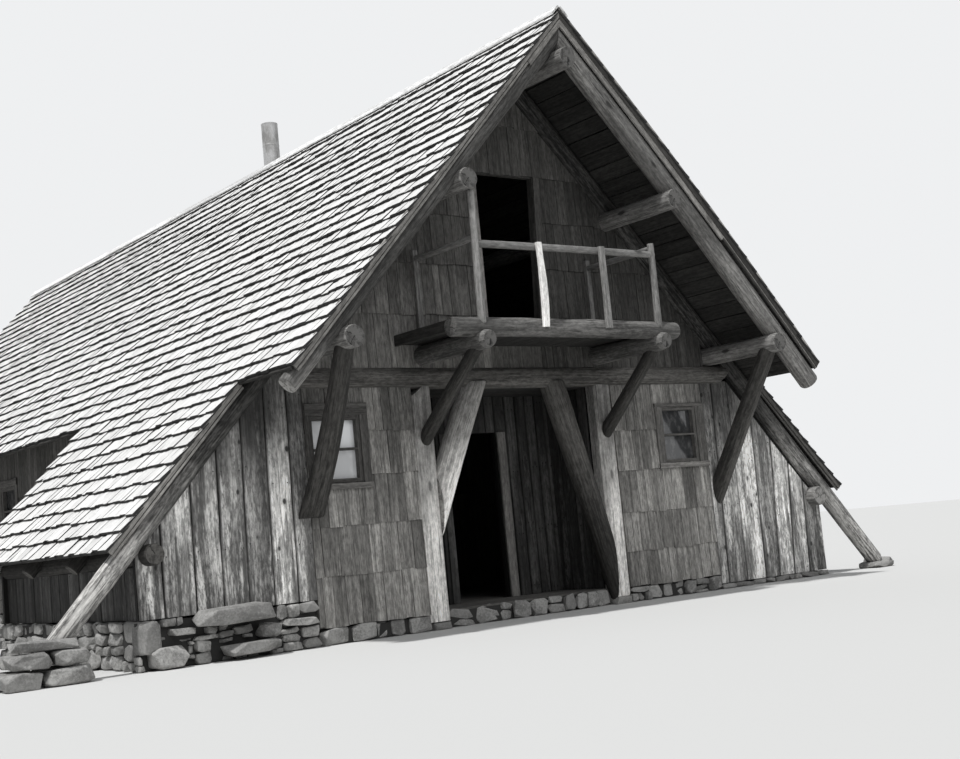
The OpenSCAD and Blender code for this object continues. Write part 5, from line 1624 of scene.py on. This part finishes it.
class CABIN_OT_stones(bpy.types.Operator):
    """Rubble footings and the flat stones under the log feet"""
    bl_idname = "cabin.stones"
    bl_label = "Footing stones"

    def execute(self, context):
        cross, long, pads = Shape(141), Shape(142), Shape(143)
        out_x = PLANKS_X + 0.06
        y_face = WALL_Y - 0.06
        heights = ((LEFT, 0.2), (RIGHT, 0.12))
        for end in ENDS:
            y = at_y(end, y_face)
            out = (0, end, 0)
            slabs = SLABS if end == FRONT else ()
            rubble(cross, (-out_x, y, 0), (-PLANK_LEFT_X, y, 0), 0.15, FOOT_LEFT, 0.13, out,
                   [(x0 + out_x, x1 + out_x, z0, z1) for x0, x1, z0, z1, _ in slabs])
            for x0, x1, z0, z1, proud in slabs:
                rock(cross, ((x0 + x1) / 2, y + end * (proud - 0.14), (z0 + z1) / 2), (x1 - x0, 0.3, z1 - z0),
                     cross.random.uniform(-0.05, 0.05), wear=0.1, tilt=cross.random.uniform(-0.03, 0.05),
                     square=(0.62, 0.4, 0.38))
            rubble(cross, (PLANK_RIGHT_X, y, 0), (out_x, y, 0), 0.15, FOOT_RIGHT, 0.12, out)
            posts = (POST_LEFT, POST_RIGHT) if end == FRONT else ()
            spans = (-PLANK_LEFT_X, *posts, PLANK_RIGHT_X)
            for x0, x1 in zip(spans[::2], spans[1::2]):
                rubble(cross, (x0, y, 0), (x1, y, 0), 0.15, FOOT_MID, 0.16, out)
            back, y0 = at_y(end, WING_END_Y - 0.097), at_y(end, WALL_Y + WALL_T)
            for side, course in heights:
                x0, x1 = sorted((side * (SIDE_X - WALL_T), side * EAVE_WALL_X))
                rubble(cross, (x0, back, 0), (x1, back, 0), 0.15, FEET[side], course, (0, -end, 0))
                rubble(long, (side * out_x, y0, 0), (side * out_x, back, 0), 0.2, FEET[side], course, (side, 0, 0))
        y = at_y(FRONT, WALL_Y)
        rubble(cross, (ENTRY_X - 1.22, y, 0), (ENTRY_X + 1.22, y, 0), 0.098, FLOOR_Z, 0.2, (0, -1, 0))
        y0 = at_y(FRONT, BACK_WALL_Y)
        for side, course in heights:
            x = side * EAVE_WALL_X
            rubble(long, (x, y0, 0), (x, -y0, 0), 0.098, FEET[side], course, (side, 0, 0))
        foot_x = (RIDGE_Z - PAD_H - RAFTER_D / RUN) / TAN
        for end in ENDS:
            for depth in (FRAME_Y, FRAME_BACK_Y):
                y = at_y(end, depth)
                rock(pads, (foot_x, y, PAD_H / 2 - 0.004), (PAD_R * 1.95, PAD_R * 1.8, PAD_H * 1.3),
                     pads.random.uniform(-0.3, 0.3))
                if (end, depth) == (FRONT, FRAME_Y):
                    rock(pads, (foot_x + 0.112, y + 0.02, 0.074), (0.33, 0.5, 0.17), 0.1, tilt=0.18, count=11)
                self.pier(pads, PIER_IN, foot_x + PAD_R - 0.03, y)
        for side in SIDES:
            x = ENTRY_X + side * ENTRY_HALF
            rock(pads, (x, at_y(FRONT, WALL_Y + 0.07), PAD_H / 2 - 0.002), (POST_W * 1.06, 0.26, PAD_H * 1.16),
                 square=(0.3, 0.3, 0.2))
        for shape, title, node in ((cross, "cross_rubble", "cross_footings"), (long, "long_rubble", "long_footings"),
                                   (pads, "pad_stones", "foot_stones")):
            shape.piece(title, "field_stone", "field_stone", node)
        return {"FINISHED"}

    def pier(self, shape, x_in, x_out, y):
        """A battered pier of loose stones under a log foot on the left, with a slab on top."""
        pick = shape.random
        levels = (0.0, 0.17, 0.32, PIER_H)
        for row, (z0, z1) in enumerate(zip(levels, levels[1:])):
            lean = z0 / PIER_H
            x0, x1 = x_in + 0.05 * lean, x_out - 0.13 * lean
            half = 0.285 - 0.05 * lean
            if row == 2:
                rock(shape, (-(x0 + x1) / 2, y, (z0 + z1) / 2), (x1 - x0, 2 * half, (z1 - z0) * 1.2),
                     pick.uniform(-0.08, 0.08), square=(0.5, 0.4, 0.3))
                continue
            cut = x0 + (x1 - x0) * pick.uniform(0.36, 0.62)
            for a, b in ((x0, cut), (cut, x1)):
                seam = half * pick.uniform(-0.3, 0.3)
                for c, d in ((-half, seam), (seam, half)):
                    rock(shape, (-(a + b) / 2, y + (c + d) / 2, (z0 + z1) / 2),
                         ((b - a) * 1.12, (d - c) * 1.12, (z1 - z0) * 1.16), pick.uniform(-0.12, 0.12))


class CABIN_OT_flue(bpy.types.Operator):
    """Sheet metal flue with two raised bands and a rolled rim"""
    bl_idname = "cabin.flue"
    bl_label = "Flue"

    def execute(self, context):
        x, y, sides = FLUE_X, at_y(FRONT, FLUE_Y), 48
        skin, rim, inner = 0.1275, 0.1298, 0.1252
        base = slope_z(x + 0.13, 0.07) - 0.018
        bands = [(r, z + up) for z in (6.92, 7.28) for r, up in ((skin, 0), (rim, 0.005), (rim, 0.025), (skin, 0.03))]
        outline = [(skin, base), *bands, (skin, 7.625), (rim, 7.632), (rim, 7.646), (inner + 0.001, 7.649), (inner, 7.64),
                   (inner, base)]
        verts, grain = [], []
        for r, z in outline:
            for j in range(sides):
                turn = 2 * math.pi * j / sides
                verts.append((x + math.cos(turn) * r, y + math.sin(turn) * r, z))
                grain.append((turn * r, z, 0))
        shape = Shape(151)
        shape.add(verts, tube_faces(sides, len(outline), closed=True), grain, 0.5)
        shape.piece("flue", "flue_metal", "flue_metal", "flue_pipe")
        return {"FINISHED"}


# The photo's camera: its yaw, pitch and roll in degrees, its place and its lens in millimetres
CAMERA_TURN, CAMERA_PLACE, CAMERA_LENS = (37.927, 6.341, -5.44), (-10.58, -19.94, 0.985), 52.41


class CABIN_OT_stage(bpy.types.Operator):
    """Plain floor, soft studio light and the camera"""
    bl_idname = "cabin.stage"
    bl_label = "Stage"

    def execute(self, context):
        given = context.scene.cabin_stage
        bm = bmesh.new()
        bmesh.ops.create_grid(bm, x_segments=1, y_segments=1, size=120)
        mesh = bpy.data.meshes.new("floor")
        bm.to_mesh(mesh)
        bm.free()
        material, t = new_material("stage_floor")
        shader = t.add("ShaderNodeBsdfPrincipled",
                       {"Base Color": rgb(given.floor_color), "Roughness": 0.95, "Specular IOR Level": 0.0})
        t.close("ShaderNodeOutputMaterial", shader)
        mesh.materials.append(material)
        floor = bpy.data.objects.new("floor", mesh)
        context.scene.collection.objects.link(floor)

        for name, energy, direction, spread in (("key", given.key, (0.42, 0.1, -0.9), 3),
                                                ("front_fill", given.key * 0.28, (0.1, 0.76, -0.64), 45)):
            data = bpy.data.lights.new(name, "SUN")
            data.energy, data.angle = energy, math.radians(spread)
            lamp = bpy.data.objects.new(name, data)
            lamp.rotation_euler = Vector(direction).to_track_quat("-Z", "Y").to_euler()
            context.scene.collection.objects.link(lamp)
        world = bpy.data.worlds.new("studio")
        context.scene.world = world
        world.use_nodes = True
        world.node_tree.nodes.clear()
        w = Tree(world.node_tree)
        light = w.add("ShaderNodeLightPath")
        seen = w.math("MAXIMUM", light, light.node.outputs["Is Glossy Ray"])
        seen = w.math("MAXIMUM", seen, light.node.outputs["Is Transmission Ray"])
        plain = w.add("ShaderNodeBackground", {"Color": (0.86, 0.87, 0.88, 1), "Strength": 1.0})
        soft = w.add("ShaderNodeBackground", {"Color": (0.92, 0.95, 1.0, 1), "Strength": given.fill})
        mixed = w.add("ShaderNodeMixShader", {0: seen, 1: soft, 2: plain})
        w.close("ShaderNodeOutputWorld", mixed)
        context.scene.view_settings.view_transform = "Standard"

        yaw, pitch, roll = (math.radians(a) for a in CAMERA_TURN)
        forward = Vector((math.sin(yaw) * math.cos(pitch), math.cos(yaw) * math.cos(pitch), math.sin(pitch)))
        level = Vector((math.cos(yaw), -math.sin(yaw), 0))
        above = level.cross(forward)
        right = level * math.cos(roll) + above * math.sin(roll)
        up = above * math.cos(roll) - level * math.sin(roll)
        data = bpy.data.cameras.new("camera")
        data.sensor_width, data.lens = 36.0, CAMERA_LENS
        data.clip_end = 400
        camera = bpy.data.objects.new("camera", data)
        camera.matrix_world = placed(right, up, -forward, CAMERA_PLACE)
        context.scene.collection.objects.link(camera)
        context.scene.camera = camera
        return {"FINISHED"}


SETTINGS = {"cabin_roof": CabinRoofSettings, "cabin_timber": CabinTimberSettings, "cabin_walls": CabinWallSettings,
            "cabin_stone": CabinStoneSettings, "cabin_stage": CabinStageSettings}
OPERATORS = (CABIN_OT_roof, CABIN_OT_ridge, CABIN_OT_rakes, CABIN_OT_frame_logs, CABIN_OT_wing_walls, CABIN_OT_shake_walls,
             CABIN_OT_entry,
             CABIN_OT_balcony, CABIN_OT_openings, CABIN_OT_floors, CABIN_OT_stones, CABIN_OT_flue, CABIN_OT_stage)


class CABIN_PT_panel(bpy.types.Panel):
    """Lists the cabin's pieces and their settings"""
    bl_idname = "CABIN_PT_panel"
    bl_label = "Cabin"
    bl_space_type = "VIEW_3D"
    bl_region_type = "UI"
    bl_category = "Cabin"

    def draw(self, context):
        for name, group in SETTINGS.items():
            box = self.layout.box()
            box.label(text=name.replace("cabin_", "").capitalize())
            for key in group.__annotations__:
                box.prop(getattr(context.scene, name), key)
        for operator in OPERATORS:
            self.layout.operator(operator.bl_idname)


def register():
    for group in SETTINGS.values():
        bpy.utils.register_class(group)
    for operator in OPERATORS + (CABIN_PT_panel,):
        bpy.utils.register_class(operator)
    for name, group in SETTINGS.items():
        setattr(bpy.types.Scene, name, PointerProperty(type=group))


def unregister():
    for name in SETTINGS:
        delattr(bpy.types.Scene, name)
    for kind in (CABIN_PT_panel,) + OPERATORS[::-1] + tuple(SETTINGS.values()):
        bpy.utils.unregister_class(kind)


def main():
    register()
    for operator in OPERATORS:
        group, name = operator.bl_idname.split(".")
        getattr(getattr(bpy.ops, group), name)()
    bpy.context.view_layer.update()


if __name__ == "__main__":
    main()
